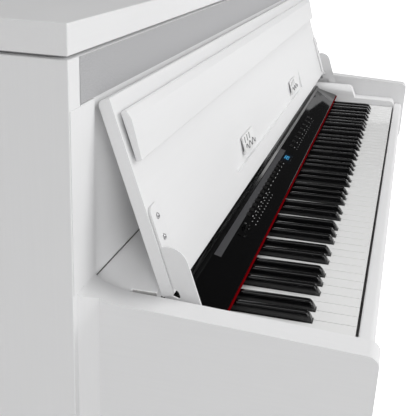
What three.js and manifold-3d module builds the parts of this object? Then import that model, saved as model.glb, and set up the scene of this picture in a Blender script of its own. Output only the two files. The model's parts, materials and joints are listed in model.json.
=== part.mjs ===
// Upright-cabinet digital piano: 88 keys, a key lid that folds back against the cabinet,
// a black control panel behind the keys and three pedals. Millimetres, +Z up.
// +X points to the treble end, the player sits on the -Y side, the origin is on the floor
// under the middle of the piano's bounding box.
import * as THREE from "three";
import { mergeVertices } from "three/addons/utils/BufferGeometryUtils.js";
import Module from "manifold-3d";

const wasm = await Module();
wasm.setup();

// ---------- driving sizes ----------
const GAP = 0.3; // fitting gap between touching pieces
const WHITE_PITCH = 23.5; // one white key, side to side
const WHITE_COUNT = 52;
const KEYBOARD_W = WHITE_PITCH * WHITE_COUNT;
const BLOCK_W = 45; // key block between the last key and the arm
const ARM_T = 32; // arm board
const SIDE_T = 25; // outer side panel
const DEPTH = 460; // arm nose to back panel
const CASE_DEPTH = 169; // upright cabinet alone
const KEY_TOP = 735; // white key tops above the floor
const CASE_ABOVE_KEYS = 302; // side panel tops above the white keys
const TOP_T = 28; // cabinet top board
const TOP_SHADOW = 3; // shadow gap under the cabinet top
const NOSE_OVER_KEYS = 27; // arm nose ahead of the white key fronts
const WHITE_LEN = 150; // visible white key length
const BLACK_SETBACK = 50; // black key front behind the white key front
const BLACK_RISE = 12; // black key top above the white key top, at its front
const BLACK_FALL = 1.8; // black key top falls this much to the back
const KEY_BODY = 20; // white key depth
const KEY_PIVOT_BACK = 235; // key pivot behind the white key fronts
const KEY_DIP_DEG = 2.4;
const LID_LEAN_DEG = 19.5; // open lid, back from vertical
const LID_LEN = 208;
const LID_T = 13;
const LID_END_GAP = 5; // lid end to arm
const LID_OVER_SHELF = 4; // lid foot above the shelf behind it
const SHELF_BOARD_T = 12;
const BACK_T = 6;
const GRILLE_H = 44;
const RAIL_H = 12;
const BED_T = 18; // key bed board
const TOE_H = 60;
const PEDAL_LEN = 175;
const SLIP_CLEAR = 3; // dark slot between the key fronts and the slip

// ---------- derived planes ----------
const KEYS_HALF = KEYBOARD_W / 2;
const ARM_IN = KEYS_HALF + BLOCK_W; // arm inner face
const SIDE_IN = ARM_IN + ARM_T; // side panel inner face
const SIDE_OUT = SIDE_IN + SIDE_T;
const NOSE_Y = -DEPTH / 2;
const BACK_Y = DEPTH / 2;
const CASE_Y = BACK_Y - CASE_DEPTH; // cabinet front plane
const KEY_Y = NOSE_Y + NOSE_OVER_KEYS; // white key fronts
const CASE_TOP = KEY_TOP + CASE_ABOVE_KEYS;
const GRILLE_TOP = CASE_TOP - GAP;
const GRILLE_LOW = CASE_TOP - GRILLE_H;
const RAIL_LOW = GRILLE_LOW - RAIL_H;
const ARM_TOP_BACK = KEY_TOP + 61.5; // arm top where it meets the cabinet sweep
const ARM_TOP_NOSE = KEY_TOP + 51; // arm top at the nose
const ARM_LOW = KEY_TOP - 110;
const BED_TOP = KEY_TOP - 62;
const BED_LOW = BED_TOP - BED_T;
const SHELF_TOP = KEY_TOP + 58;
const SHELF_LOW = SHELF_TOP - SHELF_BOARD_T;
const BACK_IN = BACK_Y - BACK_T - GAP;

// ---------- materials ----------
const paint = (name, color, roughness, metalness) =>
  new THREE.MeshStandardMaterial({ name, color, roughness, metalness });
const WHITE = () => paint("satin_white", 0xe9e9e9, 0.45, 0);
const BLACK = () => paint("gloss_black", 0x0a0a0c, 0.12, 0);
const STEEL = () => paint("white_steel", 0xdedede, 0.4, 0.3);

// ---------- solids ----------
function toSolid(geometry) {
  const bare = geometry.clone();
  bare.deleteAttribute("normal");
  bare.deleteAttribute("uv");
  const merged = mergeVertices(bare, 1e-4);
  return new wasm.Manifold(
    new wasm.Mesh({
      numProp: 3,
      vertProperties: new Float32Array(merged.attributes.position.array),
      triVerts: new Uint32Array(merged.index.array),
    }),
  );
}

function fromSolid(solid) {
  const mesh = solid.getMesh();
  const geometry = new THREE.BufferGeometry();
  geometry.setAttribute("position", new THREE.BufferAttribute(mesh.vertProperties, 3));
  geometry.setIndex(new THREE.BufferAttribute(mesh.triVerts, 1));
  return geometry;
}

const meet = (first, second) => fromSolid(toSolid(first).intersect(toSolid(second)));
const join = (first, ...rest) =>
  fromSolid(rest.reduce((solid, g) => solid.add(toSolid(g)), toSolid(first)));
const cut = (first, ...rest) =>
  fromSolid(rest.reduce((solid, g) => solid.subtract(toSolid(g)), toSolid(first)));

// Box between two corners.
function box(x0, x1, y0, y1, z0, z1) {
  const geometry = new THREE.BoxGeometry(x1 - x0, y1 - y0, z1 - z0);
  return geometry.translate((x0 + x1) / 2, (y0 + y1) / 2, (z0 + z1) / 2);
}

// Closed outline through corners [a, b, radius], each corner rounded by its radius.
function outline(corners, steps = 5) {
  const points = [];
  const count = corners.length;
  corners.forEach(([a, b, radius = 0], i) => {
    const here = new THREE.Vector2(a, b);
    if (radius <= 0) {
      points.push(here);
      return;
    }
    const before = corners[(i + count - 1) % count];
    const after = corners[(i + 1) % count];
    const toBefore = new THREE.Vector2(before[0] - a, before[1] - b).normalize();
    const toAfter = new THREE.Vector2(after[0] - a, after[1] - b).normalize();
    const half = Math.acos(THREE.MathUtils.clamp(toBefore.dot(toAfter), -1, 1)) / 2;
    const middle = toBefore.clone().add(toAfter).normalize();
    const centre = here.clone().addScaledVector(middle, radius / Math.sin(half));
    const reach = radius / Math.tan(half);
    const start = here.clone().addScaledVector(toBefore, reach).sub(centre);
    const end = here.clone().addScaledVector(toAfter, reach).sub(centre);
    let turn = end.angle() - start.angle();
    turn -= 2 * Math.PI * Math.round(turn / (2 * Math.PI));
    for (let k = 0; k <= steps; k += 1) {
      const swung = start.clone().rotateAround(new THREE.Vector2(), (turn * k) / steps);
      points.push(swung.add(centre));
    }
  });
  return new THREE.Shape(points);
}

const ALONG_X = new THREE.Matrix4().set(0, 0, 1, 0, 1, 0, 0, 0, 0, 1, 0, 0, 0, 0, 0, 1);
const ALONG_Y = new THREE.Matrix4().set(1, 0, 0, 0, 0, 0, -1, 0, 0, 1, 0, 0, 0, 0, 0, 1);

function extrude(shape, depth) {
  return new THREE.ExtrudeGeometry(shape, { depth, bevelEnabled: false, curveSegments: 8 });
}

// Outline in (y, z), extruded from x0 to x1.
const alongX = (shape, x0, x1) => extrude(shape, x1 - x0).applyMatrix4(ALONG_X).translate(x0, 0, 0);
// Outline in (x, z), extruded from y0 to y1.
const alongY = (shape, y0, y1) => extrude(shape, y1 - y0).applyMatrix4(ALONG_Y).translate(0, y1, 0);
// Outline in (x, y), extruded from z0 to z1.
const alongZ = (shape, z0, z1) => extrude(shape, z1 - z0).translate(0, 0, z0);

const cylinderX = (r, x0, x1, y, z, sides = 20) =>
  new THREE.CylinderGeometry(r, r, x1 - x0, sides)
    .rotateZ(Math.PI / 2)
    .translate((x0 + x1) / 2, y, z);
const cylinderZ = (r, z0, z1, x, y, sides = 20) =>
  new THREE.CylinderGeometry(r, r, z1 - z0, sides)
    .rotateX(Math.PI / 2)
    .translate(x, y, (z0 + z1) / 2);

const piano = new THREE.Group();
function add(name, geometry, material, parent = piano) {
  const mesh = new THREE.Mesh(geometry, material);
  mesh.name = name;
  parent.add(mesh);
  return mesh;
}
// The two ends of the piano, and the x limits at one end of a piece from inner to outer.
const ENDS = [
  ["bass", -1],
  ["treble", 1],
];
const spanX = (sign, inner, outer) => (sign < 0 ? [-outer, -inner] : [inner, outer]);

// ---------- lid frame ----------
// The lid's lower front edge, its lengthwise direction and its face normal, in (y, z).
const LEAN = THREE.MathUtils.degToRad(LID_LEAN_DEG);
// Open, the lid's upper back edge rests just clear of the cabinet front.
const LID_FOOT = new THREE.Vector2(
  CASE_Y - GAP - LID_LEN * Math.sin(LEAN) - LID_T * Math.cos(LEAN),
  SHELF_TOP + LID_OVER_SHELF,
);
const LID_UP = new THREE.Vector2(Math.sin(LEAN), Math.cos(LEAN));
const LID_OUT = new THREE.Vector2(-Math.cos(LEAN), Math.sin(LEAN));
// Point s along the lid from its foot and n out from its inner face.
function onLid(s, n, radius = 0) {
  const p = LID_FOOT.clone().addScaledVector(LID_UP, s).addScaledVector(LID_OUT, n);
  return [p.x, p.y, radius];
}
const PIN_R = 3;
const PIN_CLEAR = 0.3;
const PIN_IN_ARM = 14;
const PIVOT_S = -9; // pivot below the lid foot, along the lid
const [PIVOT_Y, PIVOT_Z] = onLid(PIVOT_S, -LID_T / 2);
const LID_HALF = ARM_IN - LID_END_GAP;

// Control panel limits: it starts over the back of the keys and ends at the shelf.
const PANEL_OVERLAP = 9; // white key length under the panel's front edge
const PANEL_DEPTH = 60;
const PANEL_FRONT = KEY_Y + WHITE_LEN - PANEL_OVERLAP;
const PANEL_BACK = PANEL_FRONT + PANEL_DEPTH;

// Lid bracket web, and the room it needs beside the arm and in the shelf as the lid turns.
const WEB_OUT = 24; // web stands this far off the lid face
const WEB_TIP = -33; // lower end, below the lid foot
const WEB_REACH = Math.hypot(PIVOT_S - WEB_TIP, WEB_OUT + LID_T / 2);
const WEB_T = 2.5;
const WEB_EDGE = 2.5; // outer face of the web inside the lid end
const WEB_IN = LID_HALF - WEB_EDGE - WEB_T; // inner face of the web
const BRACKET_SLOT = 13; // room beside the arm for the lid brackets
const PIN_PROUD = 1; // pin end past the web's inner face
const NOTCH_SIDE = 0.5; // shelf to the pin end
const NOTCH_CLEAR = 5;

// ---------- cabinet ----------
function sidePanels() {
  for (const [end, sign] of ENDS) {
    const [x0, x1] = spanX(sign, SIDE_IN, SIDE_OUT);
    add(`side_panel_${end}`, box(x0, x1, CASE_Y, BACK_Y, 0, CASE_TOP), WHITE());
  }
}

// The arm board's top sweeps up at the back to meet the cabinet's inner front strip.
const SWEEP_LEN = 22;
const SWEEP_RISE = 11.5;
const SWEEP_R = 84;
function armPanels() {
  const profile = outline([
    [NOSE_Y, ARM_LOW, 40],
    [CASE_Y - 30, ARM_LOW],
    [CASE_Y, ARM_LOW - 30],
    [CASE_Y, TOE_H + GAP],
    [BACK_IN, TOE_H + GAP],
    [BACK_IN, GRILLE_LOW - GAP],
    [CASE_Y, GRILLE_LOW - GAP],
    [CASE_Y, ARM_TOP_BACK + SWEEP_RISE, 5],
    [CASE_Y - SWEEP_LEN, ARM_TOP_BACK, SWEEP_R],
    [CASE_Y - 80, ARM_TOP_BACK - 1.5],
    [NOSE_Y, ARM_TOP_NOSE, 12],
  ], 8);
  for (const [end, sign] of ENDS) {
    const [x0, x1] = spanX(sign, ARM_IN, SIDE_IN - GAP);
    const [h0, h1] = spanX(sign, ARM_IN - 1, ARM_IN + PIN_IN_ARM + GAP);
    const bore = cylinderX(PIN_R + PIN_CLEAR, h0, h1, PIVOT_Y, PIVOT_Z);
    add(`arm_panel_${end}`, cut(alongX(profile, x0, x1), bore), WHITE());
  }
}

function topBoard() {
  const inset = 10;
  const low = CASE_TOP + TOP_SHADOW;
  const board = box(-SIDE_OUT, SIDE_OUT, CASE_Y, BACK_Y, low, low + TOP_T);
  const cleat = box(
    -SIDE_OUT + inset,
    SIDE_OUT - inset,
    CASE_Y + inset,
    BACK_Y - inset,
    CASE_TOP + GAP,
    low + 1,
  );
  add("top_board", join(board, cleat), WHITE());
}

const CLOTH_T = 3; // cloth on its stretcher
const BAFFLE_T = 12;
const BAFFLE_Y = CASE_Y + CLOTH_T + GAP;
const SPEAKER_X = 470; // speaker centres from the middle
const SPEAKER_W = 120;
const SPEAKER_H = 34;
const SPEAKER_Z = (GRILLE_LOW + GRILLE_TOP) / 2;

const stadium = (x, z, w, h) =>
  outline(
    [
      [x - w / 2, z - h / 2, h / 2 - 0.01],
      [x + w / 2, z - h / 2, h / 2 - 0.01],
      [x + w / 2, z + h / 2, h / 2 - 0.01],
      [x - w / 2, z + h / 2, h / 2 - 0.01],
    ],
    6,
  );

function grille() {
  const half = SIDE_IN - GAP;
  const railHalf = ARM_IN - GAP;
  const baffle = box(-half, half, BAFFLE_Y, BAFFLE_Y + BAFFLE_T, GRILLE_LOW, GRILLE_TOP);
  const rail = box(-railHalf, railHalf, CASE_Y + 2, BAFFLE_Y + BAFFLE_T, RAIL_LOW, GRILLE_LOW - GAP);
  const web = box(-railHalf, railHalf, BAFFLE_Y, BAFFLE_Y + BAFFLE_T, RAIL_LOW, GRILLE_LOW + 2);
  const holes = ENDS.map(([, sign]) =>
    alongY(
      stadium(sign * SPEAKER_X, SPEAKER_Z, SPEAKER_W - 16, SPEAKER_H - 12),
      BAFFLE_Y - 1,
      BAFFLE_Y + BAFFLE_T + 1,
    ),
  );
  const frame = fromSolid(
    holes.reduce((s, h) => s.subtract(toSolid(h)), toSolid(join(baffle, rail, web))),
  );
  add("grille_frame", frame, WHITE());
  add(
    "grille_cloth",
    box(-half, half, CASE_Y, CASE_Y + CLOTH_T, GRILLE_LOW, GRILLE_TOP),
    paint("grille_cloth", 0xa9a9ab, 0.95, 0),
  );
}

function speakers() {
  const face = BAFFLE_Y + BAFFLE_T + GAP;
  for (const [end, sign] of ENDS) {
    const flange = alongY(stadium(sign * SPEAKER_X, SPEAKER_Z, SPEAKER_W, SPEAKER_H), face, face + 4);
    const basket = alongY(
      stadium(sign * SPEAKER_X, SPEAKER_Z, SPEAKER_W - 14, SPEAKER_H - 8),
      face + 3,
      face + 24,
    );
    const magnet = alongY(stadium(sign * SPEAKER_X, SPEAKER_Z, 34, 30), face + 23, face + 42);
    add(`speaker_${end}`, join(flange, basket, magnet), paint("speaker", 0x222222, 0.6, 0.3));
  }
}

const RECESS_Y = CASE_Y + 12; // upper panel behind the lid
function recess() {
  const half = ARM_IN - GAP;
  add(
    "recess_panel",
    box(-half, half, RECESS_Y, RECESS_Y + SHELF_BOARD_T, SHELF_TOP + GAP, RAIL_LOW - GAP),
    WHITE(),
  );
  // The shelf's front corners are notched for the lid brackets' swing.
  const front = PANEL_BACK + 1;
  const notchX = WEB_IN - PIN_PROUD - NOTCH_SIDE;
  const notchY = PIVOT_Y + WEB_REACH + NOTCH_CLEAR;
  const shelf = outline([
    [-notchX, front],
    [notchX, front],
    [notchX, notchY],
    [half, notchY],
    [half, RECESS_Y + SHELF_BOARD_T],
    [-half, RECESS_Y + SHELF_BOARD_T],
    [-half, notchY],
    [-notchX, notchY],
  ]);
  add("shelf_board", alongZ(shelf, SHELF_LOW, SHELF_TOP), WHITE());
}

const INLET_X = -300;
const INLET_Z = SHELF_TOP + 67;
const INLET_W = 27;
const INLET_H = 20;
const INLET_DEEP = 34;
const SOCKET_DEEP = 20;
const SOCKET_RIM = [3, 5]; // wall beside the socket and above it
const PIN_SPREAD = 4.3; // contact pins each side of the middle
function backPanel() {
  const half = SIDE_IN - GAP;
  const board = box(-half, half, BACK_Y - BACK_T, BACK_Y, TOE_H + 20, GRILLE_TOP);
  const window = box(
    INLET_X - INLET_W / 2 - GAP,
    INLET_X + INLET_W / 2 + GAP,
    BACK_Y - BACK_T - 1,
    BACK_Y + 1,
    INLET_Z - INLET_H / 2 - GAP,
    INLET_Z + INLET_H / 2 + GAP,
  );
  add("back_panel", cut(board, window), paint("back_board", 0xd8d8d6, 0.7, 0));
}

// Appliance inlet: a block whose socket is open to the back and holds two contact pins.
function powerInlet() {
  const [sideRim, topRim] = SOCKET_RIM;
  const block = box(
    INLET_X - INLET_W / 2,
    INLET_X + INLET_W / 2,
    BACK_Y - INLET_DEEP,
    BACK_Y - 1,
    INLET_Z - INLET_H / 2,
    INLET_Z + INLET_H / 2,
  );
  const socket = box(
    INLET_X - INLET_W / 2 + sideRim,
    INLET_X + INLET_W / 2 - sideRim,
    BACK_Y - SOCKET_DEEP,
    BACK_Y,
    INLET_Z - INLET_H / 2 + topRim,
    INLET_Z + INLET_H / 2 - topRim,
  );
  const pinLength = 12;
  const pins = [-PIN_SPREAD, PIN_SPREAD].map((dx) =>
    new THREE.CylinderGeometry(1.2, 1.2, pinLength, 10).translate(
      INLET_X + dx,
      BACK_Y - SOCKET_DEEP + pinLength / 2 - 1,
      INLET_Z,
    ),
  );
  const inlet = join(cut(block, socket), ...pins);
  add("power_inlet", inlet, paint("inlet", 0x151515, 0.5, 0));
}

const POST_H = 6; // circuit board stands this far off the recess panel
function mainBoard() {
  const panelBack = RECESS_Y + SHELF_BOARD_T;
  const y = panelBack + POST_H;
  const board = box(-120, 120, y, y + 1.6, SHELF_TOP + 20, SHELF_TOP + 120);
  const posts = [-110, 110].flatMap((x) =>
    [30, 110].map((z) =>
      new THREE.CylinderGeometry(3, 3, POST_H - GAP + 1, 10).translate(
        x,
        panelBack + (POST_H + GAP + 1) / 2,
        SHELF_TOP + z,
      ),
    ),
  );
  const chip = (x0, x1, high, z0, z1) =>
    box(x0, x1, y + 1, y + high, SHELF_TOP + z0, SHELF_TOP + z1);
  const chips = [chip(-60, -25, 4, 50, 85), chip(10, 30, 4, 60, 80), chip(70, 100, 14, 35, 60)];
  add("main_board", join(board, ...posts, ...chips), paint("circuit", 0x1d5a35, 0.5, 0.1));
}

const LOWER_Y = CASE_Y + 26; // knee panel front
const LOWER_T = 12;
const BOTTOM_Z = TOE_H + GAP;
const BOTTOM_T = 20;
function lowerCase() {
  const wide = ARM_IN - GAP;
  const bedFront = KEY_Y - SLIP_CLEAR;
  add("key_bed", box(-wide, wide, bedFront, LOWER_Y + LOWER_T, BED_LOW, BED_TOP), WHITE());
  add(
    "lower_panel",
    box(-wide, wide, LOWER_Y, LOWER_Y + LOWER_T, BOTTOM_Z + BOTTOM_T + GAP, BED_LOW - GAP),
    WHITE(),
  );
  add("bottom_board", box(-wide, wide, CASE_Y, BACK_IN, BOTTOM_Z, BOTTOM_Z + BOTTOM_T), WHITE());
}

// Slip rail in front of the keys, with a rounded top front edge.
const SLIP_Y = NOSE_Y + 5;
function keySlip() {
  const half = ARM_IN - GAP;
  const back = KEY_Y - SLIP_CLEAR - GAP;
  const profile = outline([
    [SLIP_Y, BED_LOW, 3],
    [back, BED_LOW],
    [back, KEY_TOP + 1, 2],
    [SLIP_Y, KEY_TOP + 1, 7],
  ]);
  add("key_slip", alongX(profile, -half, half), WHITE());
}

// Key blocks: level with the keys in front, raised beside the control panel.
const BLOCK_LOW_TOP = KEY_TOP + 14;
const BLOCK_HIGH_TOP = KEY_TOP + 40;
const BLOCK_STEP = 94; // raised part starts this far behind the key fronts
const BLOCK_SLANT = 12;
const BLOCK_ROUND = 20; // rounding of the raised part's top towards the keys
const BLOCK_SIDE_GAP = 0.5;
function keyBlocks() {
  const front = KEY_Y - SLIP_CLEAR + GAP;
  const step = KEY_Y + BLOCK_STEP;
  const back = PANEL_BACK - 1;
  const foot = BED_TOP + GAP;
  const low = outline([
    [front, foot],
    [step + 2, foot],
    [step + 2, BLOCK_LOW_TOP],
    [front, BLOCK_LOW_TOP, 12],
  ]);
  const high = outline([
    [step, foot],
    [back, foot],
    [back, BLOCK_HIGH_TOP],
    [step + BLOCK_SLANT, BLOCK_HIGH_TOP, 12],
    [step, BLOCK_LOW_TOP],
  ]);
  for (const [end, sign] of ENDS) {
    const lowSpan = spanX(sign, KEYS_HALF + BLOCK_SIDE_GAP, ARM_IN - GAP);
    const [x0, x1] = spanX(sign, KEYS_HALF + BLOCK_SIDE_GAP, ARM_IN - BRACKET_SLOT);
    const section = outline([
      [x0, foot],
      [x1, foot],
      [x1, BLOCK_HIGH_TOP, sign < 0 ? BLOCK_ROUND : 0],
      [x0, BLOCK_HIGH_TOP, sign < 0 ? 0 : BLOCK_ROUND],
    ]);
    const raised = meet(alongX(high, x0, x1), alongY(section, step - 1, back + 1));
    add(`key_block_${end}`, join(alongX(low, ...lowSpan), raised), WHITE());
  }
}

function legs() {
  const middle = (ARM_IN + SIDE_IN) / 2;
  for (const [end, sign] of ENDS) {
    const [x0, x1] = spanX(sign, ARM_IN, SIDE_OUT);
    const toe = outline([
      [NOSE_Y + 8, 0, 6],
      [CASE_Y - GAP, 0],
      [CASE_Y - GAP, TOE_H],
      [NOSE_Y + 60, TOE_H, 30],
      [NOSE_Y + 8, TOE_H * 0.6, 14],
    ]);
    add(`toe_block_${end}`, alongX(toe, x0, x1), WHITE());
    const legHeight = ARM_LOW - TOE_H - 2 * GAP;
    const leg = new THREE.CylinderGeometry(30, 25, legHeight, 4)
      .rotateY(Math.PI / 4)
      .rotateX(Math.PI / 2)
      .translate(sign * middle, NOSE_Y + 95, TOE_H + GAP + legHeight / 2);
    add(`leg_${end}`, leg, WHITE());
  }
}

// ---------- keyboard ----------
const KEY_SIDE_GAP = 0.5; // half the gap between white keys
const BLACK_SIDE_GAP = 1.1; // black key to the white tails beside it
const WHITE_OF_TONE = { 0: 0, 2: 1, 4: 2, 5: 3, 7: 4, 9: 5, 11: 6 };
const TONE_NAMES = ["C", "Cs", "D", "Ds", "E", "F", "Fs", "G", "Gs", "A", "As", "B"];
const KEY_COUNT = 88;

// Left and right x of a key's head and tail. Key 0 is the lowest A.
function keySpan(index) {
  const tone = (index + 9) % 12;
  const octave = Math.floor((index + 9) / 12);
  const octaveX = -KEYS_HALF + (octave * 7 - 5) * WHITE_PITCH;
  const lowTail = (3 * WHITE_PITCH) / 5;
  const highTail = (4 * WHITE_PITCH) / 7;
  const tailX = tone < 5 ? tone * lowTail : 3 * WHITE_PITCH + (tone - 5) * highTail;
  const span = {
    name: `${TONE_NAMES[tone]}${octave}`,
    black: !(tone in WHITE_OF_TONE),
    tail: [octaveX + tailX, octaveX + tailX + (tone < 5 ? lowTail : highTail)],
  };
  if (!span.black) {
    const head = octaveX + WHITE_OF_TONE[tone] * WHITE_PITCH;
    span.head = [head, head + WHITE_PITCH];
    if (index === 0) span.tail[0] = head;
    if (index === KEY_COUNT - 1) span.tail = [head, head + WHITE_PITCH];
  }
  return span;
}

function whiteOutline(span, back) {
  const [h0, h1] = [span.head[0] + KEY_SIDE_GAP, span.head[1] - KEY_SIDE_GAP];
  const [t0, t1] = [
    Math.max(span.tail[0] + KEY_SIDE_GAP, h0),
    Math.min(span.tail[1] - KEY_SIDE_GAP, h1),
  ];
  const points = [
    [h0, KEY_Y],
    [h1, KEY_Y],
    [h1, KEY_Y + BLACK_SETBACK - 1],
    [t1, KEY_Y + BLACK_SETBACK - 1],
    [t1, back],
    [t0, back],
    [t0, KEY_Y + BLACK_SETBACK - 1],
    [h0, KEY_Y + BLACK_SETBACK - 1],
  ];
  const distinct = points.filter(([x, y], i) => {
    const [px, py] = points[(i + points.length - 1) % points.length];
    return Math.hypot(x - px, y - py) > 1e-6;
  });
  return outline(distinct);
}

const BLACK_LOW = KEY_TOP - 8;
const BLACK_TAIL_TOP = KEY_TOP - 1.5;
const BLACK_TOP_BACK = KEY_Y + WHITE_LEN - 2;
const KEY_TAIL_Y = KEY_Y + KEY_PIVOT_BACK + 8;
function blackKey(span, back) {
  const front = KEY_Y + BLACK_SETBACK;
  const profile = outline([
    [front, BLACK_LOW],
    [front, KEY_TOP + 2],
    [front + 7, KEY_TOP + BLACK_RISE, 3],
    [BLACK_TOP_BACK, KEY_TOP + BLACK_RISE - BLACK_FALL],
    [BLACK_TOP_BACK, BLACK_TAIL_TOP],
    [back, BLACK_TAIL_TOP],
    [back, BLACK_LOW],
  ].reverse(), 3);
  return alongX(profile, span.tail[0] + BLACK_SIDE_GAP, span.tail[1] - BLACK_SIDE_GAP);
}

const KEY_LOW = KEY_TOP - KEY_BODY;
const WHITE_WEB_TOP = KEY_TOP - 12;
const FREE_FIRST = 39; // the middle octave, C4 to B4, has twelve keys that move
const FREE_LAST = 50;

function keyBank(name, first, last) {
  const spans = [];
  for (let i = first; i <= last; i += 1) spans.push(keySpan(i));
  const whites = spans.filter((s) => !s.black);
  const blacks = spans.filter((s) => s.black);
  const x0 = whites[0].head[0] + KEY_SIDE_GAP;
  const x1 = whites[whites.length - 1].head[1] - KEY_SIDE_GAP;
  const joint = KEY_Y + WHITE_LEN;
  const whiteWeb = box(x0, x1, joint - 1, KEY_TAIL_Y, KEY_LOW, WHITE_WEB_TOP);
  const fingers = whites.map((s) => alongZ(whiteOutline(s, joint), KEY_LOW, KEY_TOP));
  add(`white_keys_${name}`, join(whiteWeb, ...fingers), paint("key_white", 0xf2f2f0, 0.25, 0));
  const blackWeb = box(x0, x1, joint + 1, KEY_TAIL_Y, BLACK_LOW, BLACK_TAIL_TOP);
  const sharps = blacks.map((s) => blackKey(s, joint + 2));
  add(`black_keys_${name}`, join(blackWeb, ...sharps), paint("key_black", 0x101010, 0.45, 0));
}

function keyboard() {
  keyBank("low", 0, FREE_FIRST - 1);
  keyBank("high", FREE_LAST + 1, KEY_COUNT - 1);
  for (let i = FREE_FIRST; i <= FREE_LAST; i += 1) {
    const span = keySpan(i);
    if (span.black) {
      add(`key_${span.name}`, blackKey(span, KEY_TAIL_Y), paint("key_black", 0x101010, 0.45, 0));
    } else {
      const shape = whiteOutline(span, KEY_TAIL_Y);
      add(`key_${span.name}`, alongZ(shape, KEY_LOW, KEY_TOP), paint("key_white", 0xf2f2f0, 0.25, 0));
    }
  }
}

// Chassis under the keys: a front stop rail, a middle rail and the rear pivot rail on one plate.
const CHASSIS_PLATE = 5;
const STOP_FRONT = 15; // stop rail behind the key fronts
const STOP_W = 30;
const MIDDLE_FRONT = 125;
const MIDDLE_W = 15;
const RAIL_CLEAR = 2; // rail tops under a pressed key
const PIVOT_RAIL_CLEAR = 1.6;
const CHASSIS_BACK = 6; // chassis behind the key tails
const PIVOT_RAIL_FRONT = KEY_PIVOT_BACK - 12;
function keyChassis() {
  const dip = KEY_PIVOT_BACK * Math.sin(THREE.MathUtils.degToRad(KEY_DIP_DEG));
  const stopTop = KEY_LOW - dip - RAIL_CLEAR;
  const railTop = KEY_LOW - PIVOT_RAIL_CLEAR;
  const floor = BED_TOP + GAP;
  const plate = floor + CHASSIS_PLATE;
  const middleTop = KEY_LOW - dip / 2 - RAIL_CLEAR;
  const profile = outline([
    [KEY_Y + STOP_FRONT, floor],
    [KEY_TAIL_Y + CHASSIS_BACK, floor],
    [KEY_TAIL_Y + CHASSIS_BACK, railTop],
    [KEY_Y + PIVOT_RAIL_FRONT, railTop],
    [KEY_Y + PIVOT_RAIL_FRONT, plate],
    [KEY_Y + MIDDLE_FRONT + MIDDLE_W, plate],
    [KEY_Y + MIDDLE_FRONT + MIDDLE_W, middleTop],
    [KEY_Y + MIDDLE_FRONT, middleTop],
    [KEY_Y + MIDDLE_FRONT, plate],
    [KEY_Y + STOP_FRONT + STOP_W, plate],
    [KEY_Y + STOP_FRONT + STOP_W, stopTop],
    [KEY_Y + STOP_FRONT, stopTop],
  ]);
  add(
    "key_chassis",
    alongX(profile, -KEYS_HALF, KEYS_HALF),
    paint("chassis", 0x8a8d90, 0.5, 0.6),
  );
}

// ---------- control panel ----------
const PANEL_LOW = KEY_TOP + BLACK_RISE + 1.5;
const PANEL_SLOPE = 16 / 57; // rise over run, up to the back
const PANEL_TILT = Math.atan(PANEL_SLOPE);
const PANEL_EDGE_TOP = PANEL_LOW + 3.2;
const panelZ = (y) => PANEL_EDGE_TOP + (y - PANEL_FRONT) * PANEL_SLOPE;
const PANEL_SHELL = 3;
const PANEL_HALF = KEYS_HALF - GAP;

// A button's own frame: x to the treble, y up the panel's slope, z out of the panel.
function onPanel(x, y) {
  const seat = new THREE.Group();
  seat.position.set(x, y, panelZ(y));
  seat.rotation.x = PANEL_TILT;
  piano.add(seat);
  return seat;
}

const VOICE_COUNT = 14;
const VOICE_FIRST_X = -310; // first voice button from the middle of the keyboard
const VOICE_PITCH = 20.6;
const VOICE_Y = PANEL_FRONT + 33;
const SONG_COUNT = 8;
const SONG_FIRST_X = 70;
const SONG_PITCH = 34;
const SONG_Y = PANEL_FRONT + 31;
const CAP_W = 11;
const CAP_D = 6;
const CAP_GAP = 0.6;
const CAP_RISE = 1.2; // cap top above the panel face
const CARRIER_DEEP = 7; // carrier top below the panel face
const CARRIER_T = 2;
const DISPLAY_X = -3;
const DISPLAY_W = 52;
const DISPLAY_D = 17;
const DISPLAY_Y = PANEL_FRONT + 27;
const ROUND_R = 6;
const ROUND_DEEP = 6; // knob and power button below the panel face
const POWER_RISE = 1;
const SKIRT_RISE = 1.5;
const GRIP_RISE = 6;
const GRIP_INSET = 1.2;
const POWER_X = -383;
const KNOB_X = -356;
const ROUND_Y = PANEL_FRONT + 27;

const voiceX = (i) => VOICE_FIRST_X + i * VOICE_PITCH;
const songX = (i) => SONG_FIRST_X + i * SONG_PITCH;

function seated(geometry, x, y) {
  return geometry
    .applyMatrix4(new THREE.Matrix4().makeRotationX(PANEL_TILT))
    .translate(x, y, panelZ(y));
}

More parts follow.
